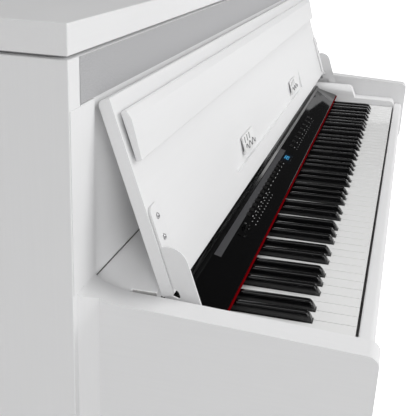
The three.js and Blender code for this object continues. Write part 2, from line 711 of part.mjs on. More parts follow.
function controlPanel() {
  const ridgeFront = PANEL_BACK - 15;
  const ridgeTop = panelZ(ridgeFront) + 6;
  const inner = PANEL_FRONT + PANEL_SHELL;
  const rear = PANEL_BACK - PANEL_SHELL;
  const profile = outline([
    [PANEL_FRONT, PANEL_LOW],
    [inner, PANEL_LOW],
    [inner, panelZ(inner) - PANEL_SHELL],
    [ridgeFront, panelZ(ridgeFront) - PANEL_SHELL],
    [ridgeFront + PANEL_SHELL, ridgeTop - PANEL_SHELL],
    [PANEL_BACK, ridgeTop - PANEL_SHELL],
    [PANEL_BACK, SHELF_LOW - GAP],
    [rear, SHELF_LOW - GAP],
    [rear, ridgeTop],
    [ridgeFront + PANEL_SHELL, ridgeTop, 2.5],
    [ridgeFront, panelZ(ridgeFront), 1.5],
    [PANEL_FRONT, PANEL_EDGE_TOP, 1.8],
  ], 3);
  const holes = [];
  const deep = 20;
  const hole = (w, d) => box(-w / 2, w / 2, -d / 2, d / 2, -deep, deep);
  for (let i = 0; i < VOICE_COUNT; i += 1) {
    holes.push(seated(hole(CAP_W + 2 * CAP_GAP, CAP_D + 2 * CAP_GAP), voiceX(i), VOICE_Y));
  }
  for (let i = 0; i < SONG_COUNT; i += 1) {
    holes.push(seated(hole(CAP_W + 2 * CAP_GAP, CAP_D + 2 * CAP_GAP), songX(i), SONG_Y));
  }
  holes.push(seated(hole(DISPLAY_W, DISPLAY_D), DISPLAY_X, DISPLAY_Y));
  for (const x of [POWER_X, KNOB_X]) {
    holes.push(seated(cylinderZ(ROUND_R + CAP_GAP, -deep, deep, 0, 0), x, ROUND_Y));
  }
  const shell = cut(alongX(profile, -PANEL_HALF, PANEL_HALF), ...holes);
  add("control_panel", shell, BLACK());
}

// A row of caps on one carrier strip under the panel.
function buttonRow(name, count, xOf, y) {
  const carrier = box(
    xOf(0) - CAP_W / 2,
    xOf(count - 1) + CAP_W / 2,
    -CAP_D / 2,
    CAP_D / 2,
    -CARRIER_DEEP - CARRIER_T,
    -CARRIER_DEEP,
  );
  const caps = [];
  for (let i = 0; i < count; i += 1) {
    const [x0, x1] = [xOf(i) - CAP_W / 2, xOf(i) + CAP_W / 2];
    caps.push(box(x0, x1, -CAP_D / 2, CAP_D / 2, -CARRIER_DEEP - 1, CAP_RISE));
  }
  add(name, join(carrier, ...caps), paint("button_black", 0x050505, 0.3, 0), onPanel(0, y));
}

function controls() {
  buttonRow("voice_buttons", VOICE_COUNT, voiceX, VOICE_Y);
  buttonRow("song_buttons", SONG_COUNT, songX, SONG_Y);
  const lens = box(
    -DISPLAY_W / 2 + GAP,
    DISPLAY_W / 2 - GAP,
    -DISPLAY_D / 2 + GAP,
    DISPLAY_D / 2 - GAP,
    -PANEL_SHELL,
    -0.4,
  );
  add("display_window", lens, paint("display", 0x0b1622, 0.1, 0), onPanel(DISPLAY_X, DISPLAY_Y));
  const power = cylinderZ(ROUND_R, -ROUND_DEEP, POWER_RISE, 0, 0, 24);
  add("power_button", power, BLACK(), onPanel(POWER_X, ROUND_Y));
  const skirt = cylinderZ(ROUND_R, -ROUND_DEEP, SKIRT_RISE, 0, 0, 24);
  const grip = cylinderZ(ROUND_R - GRIP_INSET, SKIRT_RISE - 0.5, GRIP_RISE, 0, 0, 24);
  add("volume_knob", join(skirt, grip), BLACK(), onPanel(KNOB_X, ROUND_Y));
}

const FELT_W = 2.6;
const FELT_H = 2;
function feltStrip() {
  const front = PANEL_FRONT - FELT_W;
  const felt = box(-PANEL_HALF, PANEL_HALF, front, PANEL_FRONT - GAP, PANEL_LOW, PANEL_LOW + FELT_H);
  add("key_felt", felt, paint("felt_red", 0x8a0a12, 0.95, 0));
}

// ---------- lid ----------
const GROOVE_HALF = 318; // music groove, half its length
const GROOVE_FOOT = 28.5; // groove ledge above the lid foot
const GROOVE_HEAD = 69;
const GROOVE_DEEP = 4.5;
const LEAF_HIGH = LID_LEN - 15;
const LEAF_LOW = LEAF_HIGH - 52;
const LEAF_LIFT = 2.8; // gap between the leaf and the lid
const LEAF_T = 8;
const LEAF_HALF = LID_HALF - 8.5;

function keyLid() {
  const board = outline([
    onLid(0, 0, 1.5),
    onLid(0, -LID_T, 1.5),
    onLid(LID_LEN, -LID_T, 6),
    onLid(LID_LEN, 0, 1.5),
  ].reverse());
  const groove = outline([
    onLid(GROOVE_FOOT, 1),
    onLid(GROOVE_FOOT, -GROOVE_DEEP, 1),
    onLid(GROOVE_HEAD, 0),
    onLid(GROOVE_HEAD + 4, 1),
  ].reverse(), 3);
  const lid = cut(alongX(board, -LID_HALF, LID_HALF), alongX(groove, -GROOVE_HALF, GROOVE_HALF));
  add("key_lid", lid, WHITE());
}

// Steel pins that carry the lid brackets between the arms.
function lidPins() {
  for (const [end, sign] of ENDS) {
    const [x0, x1] = spanX(sign, WEB_IN - PIN_PROUD, ARM_IN + PIN_IN_ARM - 1);
    add(`lid_pin_${end}`, cylinderX(PIN_R, x0, x1, PIVOT_Y, PIVOT_Z), STEEL());
  }
}

// Folding ledge on the upper part of the lid, thicker towards its free edge.
function musicShelf() {
  const profile = outline([
    onLid(LEAF_LOW, LEAF_LIFT, 1),
    onLid(LEAF_LOW, LEAF_LIFT + LEAF_T - 2, 1),
    onLid(LEAF_HIGH - 11, LEAF_LIFT + LEAF_T + 1, 3),
    onLid(LEAF_HIGH, LEAF_LIFT + LEAF_T - 2, 3),
    onLid(LEAF_HIGH - 2, LEAF_LIFT, 1),
  ]);
  const board = alongX(profile, -LEAF_HALF, LEAF_HALF);
  add("music_shelf", board, WHITE());
}

// Bracket at each lid end: a flange screwed to the lid's face, and a web that stands off it
// and hooks back under the lid foot to the pin.
const FLANGE_W = 28;
const FLANGE_T = 2.5;
const FLANGE_LOW = 8;
const FLANGE_HIGH = 94;
const WEB_TOP = 52;
const WEB_INNER = 9; // lower part of the web stands this far off the lid face
const HOOK_R = 6.5; // web's hook round the pin
const HOOK_TOP = -1; // just under the lid foot
function lidBrackets() {
  const web = outline([
    onLid(WEB_TOP, GAP),
    onLid(FLANGE_LOW, GAP),
    onLid(1, 5, 4),
    onLid(PIVOT_S + 1, 5, 2),
    onLid(HOOK_TOP, -4, 1),
    onLid(HOOK_TOP, -LID_T / 2 - HOOK_R, 4),
    onLid(PIVOT_S - HOOK_R, -LID_T / 2 - HOOK_R, 4),
    onLid(PIVOT_S - HOOK_R, WEB_INNER, 2),
    onLid(WEB_TIP, WEB_INNER, 5),
    onLid(WEB_TIP, WEB_OUT, 5),
    onLid(WEB_TOP, WEB_OUT, 22),
  ]);
  const flangeShape = (x0, x1) =>
    outline([
      [x0, FLANGE_LOW],
      [x1, FLANGE_LOW, 6],
      [x1, FLANGE_HIGH, 8],
      [x0, FLANGE_HIGH, 8],
    ]);
  for (const [end, sign] of ENDS) {
    const edge = LID_HALF - WEB_EDGE;
    const [w0, w1] = spanX(sign, WEB_IN, edge);
    const bore = cylinderX(PIN_R + PIN_CLEAR, w0 - 1, w1 + 1, PIVOT_Y, PIVOT_Z);
    const plate = extrude(flangeShape(0, FLANGE_W), FLANGE_T);
    const corners = new THREE.Matrix4().makeBasis(
      new THREE.Vector3(1, 0, 0),
      new THREE.Vector3(0, LID_UP.x, LID_UP.y),
      new THREE.Vector3(0, LID_OUT.x, LID_OUT.y),
    );
    const [fy, fz] = onLid(0, GAP);
    if (sign < 0) {
      plate.translate(-edge, 0, 0);
    } else {
      plate.applyMatrix4(new THREE.Matrix4().makeRotationY(Math.PI)).translate(edge, 0, FLANGE_T);
    }
    plate.applyMatrix4(corners).translate(0, fy, fz);
    add(`lid_bracket_${end}`, cut(join(alongX(web, w0, w1), plate), bore), STEEL());
  }
}

// Small page holders at the ends of the music groove.
const CLIP_X = 222;
const CLIP_W = 72;
const CLIP_FOOT = 38;
const CLIP_HIGH = 64;
function pageClips() {
  for (const [end, sign] of ENDS) {
    const plate = outline([
      onLid(CLIP_FOOT, -1.7),
      onLid(CLIP_FOOT, 2.6, 0.8),
      onLid(CLIP_HIGH, 2.6, 0.8),
      onLid(CLIP_HIGH, 0.6, 0.5),
      onLid(CLIP_FOOT + 5, 0.6),
      onLid(CLIP_FOOT + 5, -1.7),
    ], 2);
    const x = sign * CLIP_X;
    add(`page_clip_${end}`, alongX(plate, x - CLIP_W / 2, x + CLIP_W / 2), WHITE());
  }
}

// ---------- pedals ----------
const PEDAL_X = [-75, 0, 75];
const PEDAL_NAMES = ["soft", "sostenuto", "sustain"];
const PEDAL_AXLE_R = 4;
const PEDAL_AXLE_CLEAR = 0.3;
const PEDAL_Z = TOE_H - 24;
const PEDAL_TIP_Y = CASE_Y - 85;
const PEDAL_AXLE_Y = PEDAL_TIP_Y + PEDAL_LEN;
const PEDAL_BOX_HALF = 135;
const PEDAL_T = 7;
const PEDAL_TIP_HALF = 17;
const PEDAL_SHANK_HALF = 9;
const PEDAL_HUB_R = 9;
const SHOULDER_FRONT = 45; // the bar narrows from here, behind its tip
const SHOULDER_BACK = 90;
function pedalBox() {
  const high = BOTTOM_Z - GAP;
  const back = PEDAL_AXLE_Y + 25;
  const wall = 5;
  const shell = cut(
    box(-PEDAL_BOX_HALF, PEDAL_BOX_HALF, CASE_Y, back, 4, high),
    box(-PEDAL_BOX_HALF + wall, PEDAL_BOX_HALF - wall, CASE_Y - 1, back - wall, 4 + wall, high - wall),
  );
  const axle = cylinderX(
    PEDAL_AXLE_R,
    -PEDAL_BOX_HALF + wall / 2,
    PEDAL_BOX_HALF - wall / 2,
    PEDAL_AXLE_Y,
    PEDAL_Z,
  );
  add("pedal_box", join(shell, axle), paint("pedal_box", 0xdcdcdc, 0.6, 0));
}

function pedals() {
  const [tip, shank] = [PEDAL_TIP_HALF, PEDAL_SHANK_HALF];
  PEDAL_X.forEach((x, i) => {
    const plan = outline([
      [x - tip, PEDAL_TIP_Y, 14],
      [x + tip, PEDAL_TIP_Y, 14],
      [x + tip, PEDAL_TIP_Y + SHOULDER_FRONT, 10],
      [x + shank, PEDAL_TIP_Y + SHOULDER_BACK, 20],
      [x + shank, PEDAL_AXLE_Y],
      [x - shank, PEDAL_AXLE_Y],
      [x - shank, PEDAL_TIP_Y + SHOULDER_BACK, 20],
      [x - tip, PEDAL_TIP_Y + SHOULDER_FRONT, 10],
    ], 4);
    const bar = alongZ(plan, PEDAL_Z - PEDAL_T / 2, PEDAL_Z + PEDAL_T / 2);
    const hub = cylinderX(PEDAL_HUB_R, x - shank, x + shank, PEDAL_AXLE_Y, PEDAL_Z, 24);
    const boreR = PEDAL_AXLE_R + PEDAL_AXLE_CLEAR;
    const bore = cylinderX(boreR, x - tip - 1, x + tip + 1, PEDAL_AXLE_Y, PEDAL_Z, 24);
    const pedal = cut(join(bar, hub), bore);
    add(`pedal_${PEDAL_NAMES[i]}`, pedal, paint("pedal_metal", 0xc9a65a, 0.25, 1));
  });
}

sidePanels();
armPanels();
topBoard();
grille();
speakers();
recess();
backPanel();
powerInlet();
mainBoard();
lowerCase();
keySlip();
keyBlocks();
legs();
keyboard();
keyChassis();
controlPanel();
controls();
feltStrip();
keyLid();
lidPins();
musicShelf();
lidBrackets();
pageClips();
pedalBox();
pedals();

export default piano;
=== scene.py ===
"""Upright-cabinet digital piano: finishes, rounded boards, keys, panel marks, lid fittings and stage."""

import json
import math

import bmesh
import bpy
from mathutils import Matrix, Vector, noise

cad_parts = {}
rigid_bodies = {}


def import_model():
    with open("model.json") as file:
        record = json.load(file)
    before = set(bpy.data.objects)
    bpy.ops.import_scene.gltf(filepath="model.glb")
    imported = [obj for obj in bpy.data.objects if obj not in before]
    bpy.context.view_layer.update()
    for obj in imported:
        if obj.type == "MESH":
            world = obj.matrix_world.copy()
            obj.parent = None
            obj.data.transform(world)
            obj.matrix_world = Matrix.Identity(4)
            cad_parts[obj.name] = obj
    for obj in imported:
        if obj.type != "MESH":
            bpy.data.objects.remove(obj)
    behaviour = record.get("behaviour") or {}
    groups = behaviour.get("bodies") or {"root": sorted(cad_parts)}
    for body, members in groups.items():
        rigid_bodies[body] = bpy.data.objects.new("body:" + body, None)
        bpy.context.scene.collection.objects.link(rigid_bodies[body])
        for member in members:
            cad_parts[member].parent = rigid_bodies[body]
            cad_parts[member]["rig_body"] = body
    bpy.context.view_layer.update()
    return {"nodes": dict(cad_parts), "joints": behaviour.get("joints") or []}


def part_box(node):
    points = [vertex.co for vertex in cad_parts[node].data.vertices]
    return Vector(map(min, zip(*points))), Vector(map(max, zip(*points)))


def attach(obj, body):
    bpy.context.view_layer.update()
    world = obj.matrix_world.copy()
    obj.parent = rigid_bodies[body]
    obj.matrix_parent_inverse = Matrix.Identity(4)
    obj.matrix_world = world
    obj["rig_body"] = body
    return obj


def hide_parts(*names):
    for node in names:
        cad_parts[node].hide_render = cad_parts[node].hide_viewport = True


bl_info = {
    "name": "Upright digital piano",
    "version": (1, 0, 0),
    "blender": (4, 5, 0),
    "location": "3D View > Sidebar > Piano",
    "description": "Builds the surfaces and fittings of a white upright digital piano on its frame",
    "category": "Object",
}

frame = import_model()
FRAME_FINISHES = set(bpy.data.materials.keys())
MM = 0.001

# ---------- planes and directions, from the frame ----------
JOINTS = {joint["name"]: joint for joint in frame["joints"]}
LEAN = math.radians(19.5)  # open lid, back from vertical
LID_UP = Vector((0, math.sin(LEAN), math.cos(LEAN)))
LID_OUT = Vector((0, -math.cos(LEAN), math.sin(LEAN)))
PIVOT_UNDER_FOOT = 9 * MM
LID_T = 13 * MM
LID_FOOT = Vector(JOINTS["lid_hinge"]["pos_m"]) + LID_UP * PIVOT_UNDER_FOOT + LID_OUT * LID_T / 2
KEY_LO, KEY_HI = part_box("white_keys_low")
KEY_TOP = KEY_HI.z
KEY_FRONT = KEY_LO.y
PANEL_LO, PANEL_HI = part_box("control_panel")
PANEL_SLOPE = 16 / 57
PANEL_TILT = math.atan(PANEL_SLOPE)
PANEL_OUT = Vector((0, -math.sin(PANEL_TILT), math.cos(PANEL_TILT)))
PANEL_UP = Vector((0, math.cos(PANEL_TILT), math.sin(PANEL_TILT)))
PANEL_EDGE = PANEL_LO.z + 3.2 * MM
ENDS = (("bass", -1), ("treble", 1))
ARM_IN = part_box("arm_panel_treble")[0].x


def on_lid(x, s, n):
    """Point x along the lid, s up from its foot and n out from its face, in metres."""
    return Vector((x, 0, 0)) + LID_FOOT + LID_UP * s + LID_OUT * n


def on_panel(x, back, lift=0.0):
    """Point on the control panel, back from its front edge, lifted off its face."""
    y = PANEL_LO.y + back
    return Vector((x, y, PANEL_EDGE + back * PANEL_SLOPE)) + PANEL_OUT * lift


# ---------- settings ----------
class PIANO_PG_finish(bpy.types.PropertyGroup):
    white: bpy.props.FloatVectorProperty(
        name="Lacquer", description="Colour of the white boards",
        default=(0.83, 0.83, 0.835), subtype="COLOR", size=3)
    cloth: bpy.props.FloatVectorProperty(
        name="Cloth", description="Colour of the speaker cloth",
        default=(0.44, 0.44, 0.45), subtype="COLOR", size=3)
    felt: bpy.props.FloatVectorProperty(
        name="Felt", description="Colour of the strip behind the keys",
        default=(0.15, 0.001, 0.003), subtype="COLOR", size=3)
    digits: bpy.props.FloatVectorProperty(
        name="Digits", description="Colour of the lit digits",
        default=(0.05, 0.33, 0.62), subtype="COLOR", size=3)


class PIANO_PG_boards(bpy.types.PropertyGroup):
    edge: bpy.props.FloatProperty(
        name="Board edge", description="Rounding of the board edges",
        default=1.3 * MM, unit="LENGTH")
    fillet: bpy.props.FloatProperty(
        name="Fillet", description="Radius between an arm and the cabinet front",
        default=16 * MM, unit="LENGTH")


class PIANO_PG_keys(bpy.types.PropertyGroup):
    edge: bpy.props.FloatProperty(
        name="White key edge", description="Rounding of the white keys",
        default=0.9 * MM, unit="LENGTH")
    base_width: bpy.props.FloatProperty(
        name="Black key base", description="Width of a black key at the white keys",
        default=11.2 * MM, unit="LENGTH")
    top_width: bpy.props.FloatProperty(
        name="Black key top", description="Width of a black key along its top",
        default=9.2 * MM, unit="LENGTH")


class PIANO_PG_panel(bpy.types.PropertyGroup):
    dot: bpy.props.FloatProperty(
        name="Dot", description="Radius of a printed dot",
        default=0.9 * MM, unit="LENGTH")
    digit_height: bpy.props.FloatProperty(
        name="Digit height", description="Height of a lit digit",
        default=6.5 * MM, unit="LENGTH")


class PIANO_PG_lid(bpy.types.PropertyGroup):
    screw: bpy.props.FloatProperty(
        name="Screw head", description="Radius of a bracket screw head",
        default=3.4 * MM, unit="LENGTH")


# ---------- mesh helpers ----------
def shaded(mesh, angle=38):
    """Smooth faces with sharp edges where the surface turns by more than the angle."""
    mesh.polygons.foreach_set("use_smooth", [True] * len(mesh.polygons))
    mesh.set_sharp_from_angle(angle=math.radians(angle))
    mesh.update()
    return mesh


def to_object(name, bm, material):
    """An object made from a bmesh, which is freed."""
    mesh = bpy.data.meshes.new(name)
    bm.to_mesh(mesh)
    bm.free()
    mesh.materials.append(material)
    made = bpy.data.objects.new(name, shaded(mesh))
    bpy.context.scene.collection.objects.link(made)
    return made


def flatten(obj):
    """Replaces an object's mesh by what its modifiers make of it."""
    graph = bpy.context.evaluated_depsgraph_get()
    mesh = bpy.data.meshes.new_from_object(obj.evaluated_get(graph))
    mesh.name = obj.name
    obj.modifiers.clear()
    obj.data = mesh
    return obj


def rounded(obj, width, segments=2, angle=30):
    """Rounds the object's sharp edges and keeps its flat faces flat."""
    bevel = obj.modifiers.new("edges", "BEVEL")
    bevel.width = width
    bevel.segments = segments
    bevel.limit_method = "ANGLE"
    bevel.angle_limit = math.radians(angle)
    bevel.harden_normals = True
    return flatten(obj)


def place(obj, body, slot, *nodes):
    """Fastens a finished piece to its body and hides the nodes it replaces; its slot is not used."""
    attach(obj, body)
    if nodes:
        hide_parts(*nodes)
    return obj


def body_of_node(node):
    return frame["nodes"][node]["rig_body"]


def copy_of(node, name, material):
    """A merged copy of a CAD node, with its flat faces whole."""
    bm = bmesh.new()
    bm.from_mesh(frame["nodes"][node].data)
    bmesh.ops.remove_doubles(bm, verts=bm.verts, dist=0.005 * MM)
    bmesh.ops.dissolve_limit(bm, angle_limit=math.radians(0.6), verts=bm.verts, edges=bm.edges)
    return to_object(name, bm, material)


def softened(node, name, material, slot, width, segments=2):
    """A CAD node with rounded edges and its own finish."""
    made = rounded(copy_of(node, name, material), width, segments)
    return place(made, body_of_node(node), slot, node)


def block(bm, centre, size, turn=None):
    """Adds a box of that size round a centre, turned by a matrix."""
    matrix = Matrix.Translation(centre) @ (turn or Matrix.Identity(4)) @ Matrix.Diagonal((*size, 1))
    return bmesh.ops.create_cube(bm, size=1, matrix=matrix)["verts"]


def loft(bm, rings):
    """Closed solid through rings that have the same number of points."""
    loops = [[bm.verts.new(point) for point in ring] for ring in rings]
    count = len(loops[0])
    for near, far in zip(loops, loops[1:]):
        for i in range(count):
            bm.faces.new((near[i], near[(i + 1) % count], far[(i + 1) % count], far[i]))
    bm.faces.new(list(reversed(loops[0])))
    bm.faces.new(loops[-1])
    bmesh.ops.recalc_face_normals(bm, faces=bm.faces)


def turned(bm, profile, sides=32):
    """Solid of revolution about Z from (radius, height) points that start and end on the axis."""
    rings = []
    for k in range(sides):
        a = 2 * math.pi * k / sides
        rings.append([bm.verts.new((r * math.cos(a), r * math.sin(a), z)) for r, z in profile[1:-1]])
    low = bm.verts.new((0, 0, profile[0][1]))
    high = bm.verts.new((0, 0, profile[-1][1]))
    for k in range(sides):
        here, there = rings[k], rings[(k + 1) % sides]
        bm.faces.new((low, there[0], here[0]))
        bm.faces.new((high, here[-1], there[-1]))
        for i in range(len(here) - 1):
            bm.faces.new((here[i], there[i], there[i + 1], here[i + 1]))
    bmesh.ops.recalc_face_normals(bm, faces=bm.faces)


PANEL_TURN = Matrix.Rotation(PANEL_TILT, 4, "X")
LID_TURN = Matrix((
    (1, 0, 0, 0),
    (0, LID_UP.y, LID_OUT.y, 0),
    (0, LID_UP.z, LID_OUT.z, 0),
    (0, 0, 0, 1),
))


# ---------- geometry node trees ----------
TURN_SEED = 7


def tree_socket(tree, name, kind, default=None, way="INPUT"):
    made = tree.interface.new_socket(name, in_out=way, socket_type=kind)
    if default is not None:
        made.default_value = default
    return made


def parts_tree(name, own_inputs):
    """A tree with a part, a finish and its own inputs; returns None for its nodes if it is there already."""
    tree = bpy.data.node_groups.get(name)
    if tree:
        return tree, None
    tree = bpy.data.node_groups.new(name, "GeometryNodeTree")
    tree_socket(tree, "Geometry", "NodeSocketGeometry")
    tree_socket(tree, "Part", "NodeSocketObject")
    for label, kind, default in own_inputs:
        tree_socket(tree, label, kind, default)
    tree_socket(tree, "Finish", "NodeSocketMaterial")
    tree_socket(tree, "Geometry", "NodeSocketGeometry", way="OUTPUT")
    nodes, link = tree.nodes, tree.links.new
    start = nodes.new("NodeGroupInput")
    end = nodes.new("NodeGroupOutput")
    part = nodes.new("GeometryNodeObjectInfo")
    instance = nodes.new("GeometryNodeInstanceOnPoints")
    realize = nodes.new("GeometryNodeRealizeInstances")
    finish = nodes.new("GeometryNodeSetMaterial")
    link(start.outputs["Part"], part.inputs["Object"])
    link(part.outputs["Geometry"], instance.inputs["Instance"])
    link(instance.outputs["Instances"], realize.inputs["Geometry"])
    link(realize.outputs["Geometry"], finish.inputs["Geometry"])
    link(start.outputs["Finish"], finish.inputs["Material"])
    link(finish.outputs["Geometry"], end.inputs["Geometry"])
    return tree, (start, instance)


def copies_tree():
    """Puts a part on every point, its Z axis along the point's facing, with a fixed random turn."""
    tree, ends = parts_tree("copies_on_points", [("Turn spread", "NodeSocketFloat", 0.0)])
    if not ends:
        return tree
    start, instance = ends
    nodes, link = tree.nodes, tree.links.new
    facing = nodes.new("GeometryNodeInputNamedAttribute")
    facing.data_type = "FLOAT_VECTOR"
    facing.inputs["Name"].default_value = "facing"
    align = nodes.new("FunctionNodeAlignRotationToVector")
    align.axis = "Z"
    spread = nodes.new("FunctionNodeRandomValue")
    spread.data_type = "FLOAT"
    spread.inputs["Seed"].default_value = TURN_SEED
    turn = nodes.new("ShaderNodeCombineXYZ")
    euler = nodes.new("FunctionNodeEulerToRotation")
    rotate = nodes.new("FunctionNodeRotateRotation")
    rotate.rotation_space = "LOCAL"
    link(facing.outputs["Attribute"], align.inputs["Vector"])
    maximum = next(s for s in spread.inputs if s.name == "Max" and s.type == "VALUE" and s.enabled)
    value = next(s for s in spread.outputs if s.type == "VALUE" and s.enabled)
    link(start.outputs["Turn spread"], maximum)
    link(value, turn.inputs["Z"])
    link(turn.outputs["Vector"], euler.inputs[0])
    link(align.outputs["Rotation"], rotate.inputs["Rotation"])
    link(euler.outputs[0], rotate.inputs["Rotate By"])
    link(start.outputs["Geometry"], instance.inputs["Points"])
    link(rotate.outputs[0], instance.inputs["Rotation"])
    return tree


def row_tree():
    """A straight row of one part, from a start point by a fixed step."""
    own = [("Count", "NodeSocketInt", 2), ("Start", "NodeSocketVector", None),
           ("Step", "NodeSocketVector", None)]
    tree, ends = parts_tree("row_of_parts", own)
    if not ends:
        return tree
    start, instance = ends
    line = tree.nodes.new("GeometryNodeMeshLine")
    line.mode = "OFFSET"
    for label, socket in (("Count", "Count"), ("Start", "Start Location"), ("Step", "Offset")):
        tree.links.new(start.outputs[label], line.inputs[socket])
    tree.links.new(line.outputs["Mesh"], instance.inputs["Points"])
    return tree


def grown(name, mesh, tree, values):
    """Runs a tree on a mesh with its inputs set by name, and keeps the plain result."""
    host = bpy.data.objects.new(name, mesh)
    bpy.context.scene.collection.objects.link(host)
    modifier = host.modifiers.new(tree.name, "NODES")
    modifier.node_group = tree
    for item in tree.interface.items_tree:
        if item.item_type == "SOCKET" and item.in_out == "INPUT" and item.name in values:
            modifier[item.identifier] = values[item.name]
    flatten(host)
    if not host.data.polygons:
        raise RuntimeError(f"{name}: the tree made nothing")
    return host


def copies(name, part, points, facing, finish, spread=0.0):
    """Copies of a part on points, all facing one way."""
    mesh = bpy.data.meshes.new(name + "_points")
    mesh.from_pydata([tuple(p) for p in points], [], [])
    layer = mesh.attributes.new("facing", "FLOAT_VECTOR", "POINT")
    layer.data.foreach_set("vector", [c for _ in points for c in facing])
    values = {"Part": part, "Turn spread": spread, "Finish": finish}
    return grown(name, mesh, copies_tree(), values)


def row(name, part, count, start, step, finish):
    """A row of copies of a part."""
    values = {"Part": part, "Count": count, "Start": tuple(start), "Step": tuple(step), "Finish": finish}
    return grown(name, bpy.data.meshes.new(name + "_host"), row_tree(), values)


def discard(part):
    bpy.data.objects.remove(part)


# ---------- shader groups ----------
def shader_group(name, inputs, outputs):
    group = bpy.data.node_groups.new(name, "ShaderNodeTree")
    for label, kind, default in inputs:
        tree_socket(group, label, kind, default)
    for label, kind in outputs:
        tree_socket(group, label, kind, way="OUTPUT")
    return group, group.nodes.new("NodeGroupInput"), group.nodes.new("NodeGroupOutput")


def add_node(tree, kind, settings=None, **values):
    """A node with plain settings and values for its inputs."""
    made = tree.nodes.new(kind)
    for key, value in (settings or {}).items():
        setattr(made, key, value)
    for key, value in values.items():
        made.inputs[key.replace("_", " ")].default_value = value
    return made


def ranged(tree, source, low, high, from_low=0.3, from_high=0.7):
    """A value brought from one range to another."""
    made = add_node(tree, "ShaderNodeMapRange")
    made.inputs["From Min"].default_value = from_low
    made.inputs["From Max"].default_value = from_high
    tree.links.new(source, made.inputs["Value"])
    for label, value in (("To Min", low), ("To Max", high)):
        if isinstance(value, float):
            made.inputs[label].default_value = value
        else:
            tree.links.new(value, made.inputs[label])
    return made.outputs["Result"]


def mixed(tree, factor, *colours):
    """The colour between two, each a plain colour or a socket."""
    mix = add_node(tree, "ShaderNodeMix", {"data_type": "RGBA"})
    tree.links.new(factor, mix.inputs["Factor"])
    for socket, colour in zip([s for s in mix.inputs if s.type == "RGBA"], colours):
        if isinstance(colour, tuple):
            socket.default_value = colour
        else:
            tree.links.new(colour, socket)
    return next(s for s in mix.outputs if s.type == "RGBA")


FINE_SHARE, BROAD_SHARE = 0.7, 0.3  # of the fine grain and of the broad cloudiness
FUZZ_SHARE = 0.35  # of the thread pattern beside the fuzz


def grain_group():
    """Stretched grain: a colour, a roughness and a height that follow one noise."""
    found = bpy.data.node_groups.get("grain")
    if found:
        return found
    group, start, end = shader_group(
        "grain",
        [("Vector", "NodeSocketVector", None), ("Stretch", "NodeSocketVector", (1, 1, 1)),
         ("Light", "NodeSocketColor", (1, 1, 1, 1)), ("Dark", "NodeSocketColor", (0, 0, 0, 1)),
         ("Smooth", "NodeSocketFloat", 0.3), ("Rough", "NodeSocketFloat", 0.4)],
        [("Colour", "NodeSocketColor"), ("Roughness", "NodeSocketFloat"), ("Height", "NodeSocketFloat")],
    )
    link = group.links.new
    scaled = add_node(group, "ShaderNodeVectorMath", {"operation": "MULTIPLY"})
    link(start.outputs["Vector"], scaled.inputs[0])
    link(start.outputs["Stretch"], scaled.inputs[1])
    fine = add_node(group, "ShaderNodeTexNoise", Scale=1.0, Detail=6.0, Roughness=0.62)
    broad = add_node(group, "ShaderNodeTexNoise", Scale=3.1, Detail=2.0, Roughness=0.5)
    link(scaled.outputs[0], fine.inputs["Vector"])
    link(start.outputs["Vector"], broad.inputs["Vector"])
    both = add_node(group, "ShaderNodeMath", {"operation": "MULTIPLY_ADD"})
    both.inputs[1].default_value = FINE_SHARE
    share = add_node(group, "ShaderNodeMath", {"operation": "MULTIPLY"})
    share.inputs[1].default_value = BROAD_SHARE
    link(broad.outputs["Fac"], share.inputs[0])
    link(fine.outputs["Fac"], both.inputs[0])
    link(share.outputs[0], both.inputs[2])
    share_of_light = ranged(group, both.outputs[0], 0.0, 1.0)
    link(mixed(group, share_of_light, start.outputs["Dark"], start.outputs["Light"]), end.inputs["Colour"])
    rough = ranged(group, both.outputs[0], start.outputs["Smooth"], start.outputs["Rough"])
    link(rough, end.inputs["Roughness"])
    link(fine.outputs["Fac"], end.inputs["Height"])
    return group


def weave_group():
    """Plain weave: threads of two directions that pass over and under each other, with a painted highlight on
    the crests and painted shade in the gaps.
    """
    found = bpy.data.node_groups.get("weave")
    if found:
        return found
    group, start, end = shader_group(
        "weave",
        [("Vector", "NodeSocketVector", None), ("Threads", "NodeSocketFloat", 900.0),
         ("Light", "NodeSocketColor", (1, 1, 1, 1)), ("Dark", "NodeSocketColor", (0, 0, 0, 1))],
        [("Colour", "NodeSocketColor"), ("Height", "NodeSocketFloat")],
    )
    link = group.links.new
    split = add_node(group, "ShaderNodeSeparateXYZ")
    link(start.outputs["Vector"], split.inputs[0])
    waves = []
    for axis in ("X", "Z"):
        phase = add_node(group, "ShaderNodeMath", {"operation": "MULTIPLY"})
        link(split.outputs[axis], phase.inputs[0])
        link(start.outputs["Threads"], phase.inputs[1])
        wave = add_node(group, "ShaderNodeMath", {"operation": "SINE"})
        link(phase.outputs[0], wave.inputs[0])
        waves.append(wave)
    product = add_node(group, "ShaderNodeMath", {"operation": "MULTIPLY"})
    link(waves[0].outputs[0], product.inputs[0])
    link(waves[1].outputs[0], product.inputs[1])
    fuzz = add_node(group, "ShaderNodeTexNoise", Scale=700.0, Detail=3.0)
    link(start.outputs["Vector"], fuzz.inputs["Vector"])
    total = add_node(group, "ShaderNodeMath", {"operation": "MULTIPLY_ADD"})
    total.inputs[1].default_value = FUZZ_SHARE
    link(product.outputs[0], total.inputs[0])
    link(fuzz.outputs["Fac"], total.inputs[2])
    share_of_light = ranged(group, total.outputs[0], 0.0, 1.0, 0.1, 0.9)
    link(mixed(group, share_of_light, start.outputs["Dark"], start.outputs["Light"]), end.inputs["Colour"])
    link(total.outputs[0], end.inputs["Height"])
    return group


# ---------- materials ----------
def blank(name):
    """A material with only its shader and output, and its tree."""
    material = bpy.data.materials.new(name)
    material.use_nodes = True
    tree = material.node_tree
    shader = tree.nodes["Principled BSDF"]
    return material, tree, shader


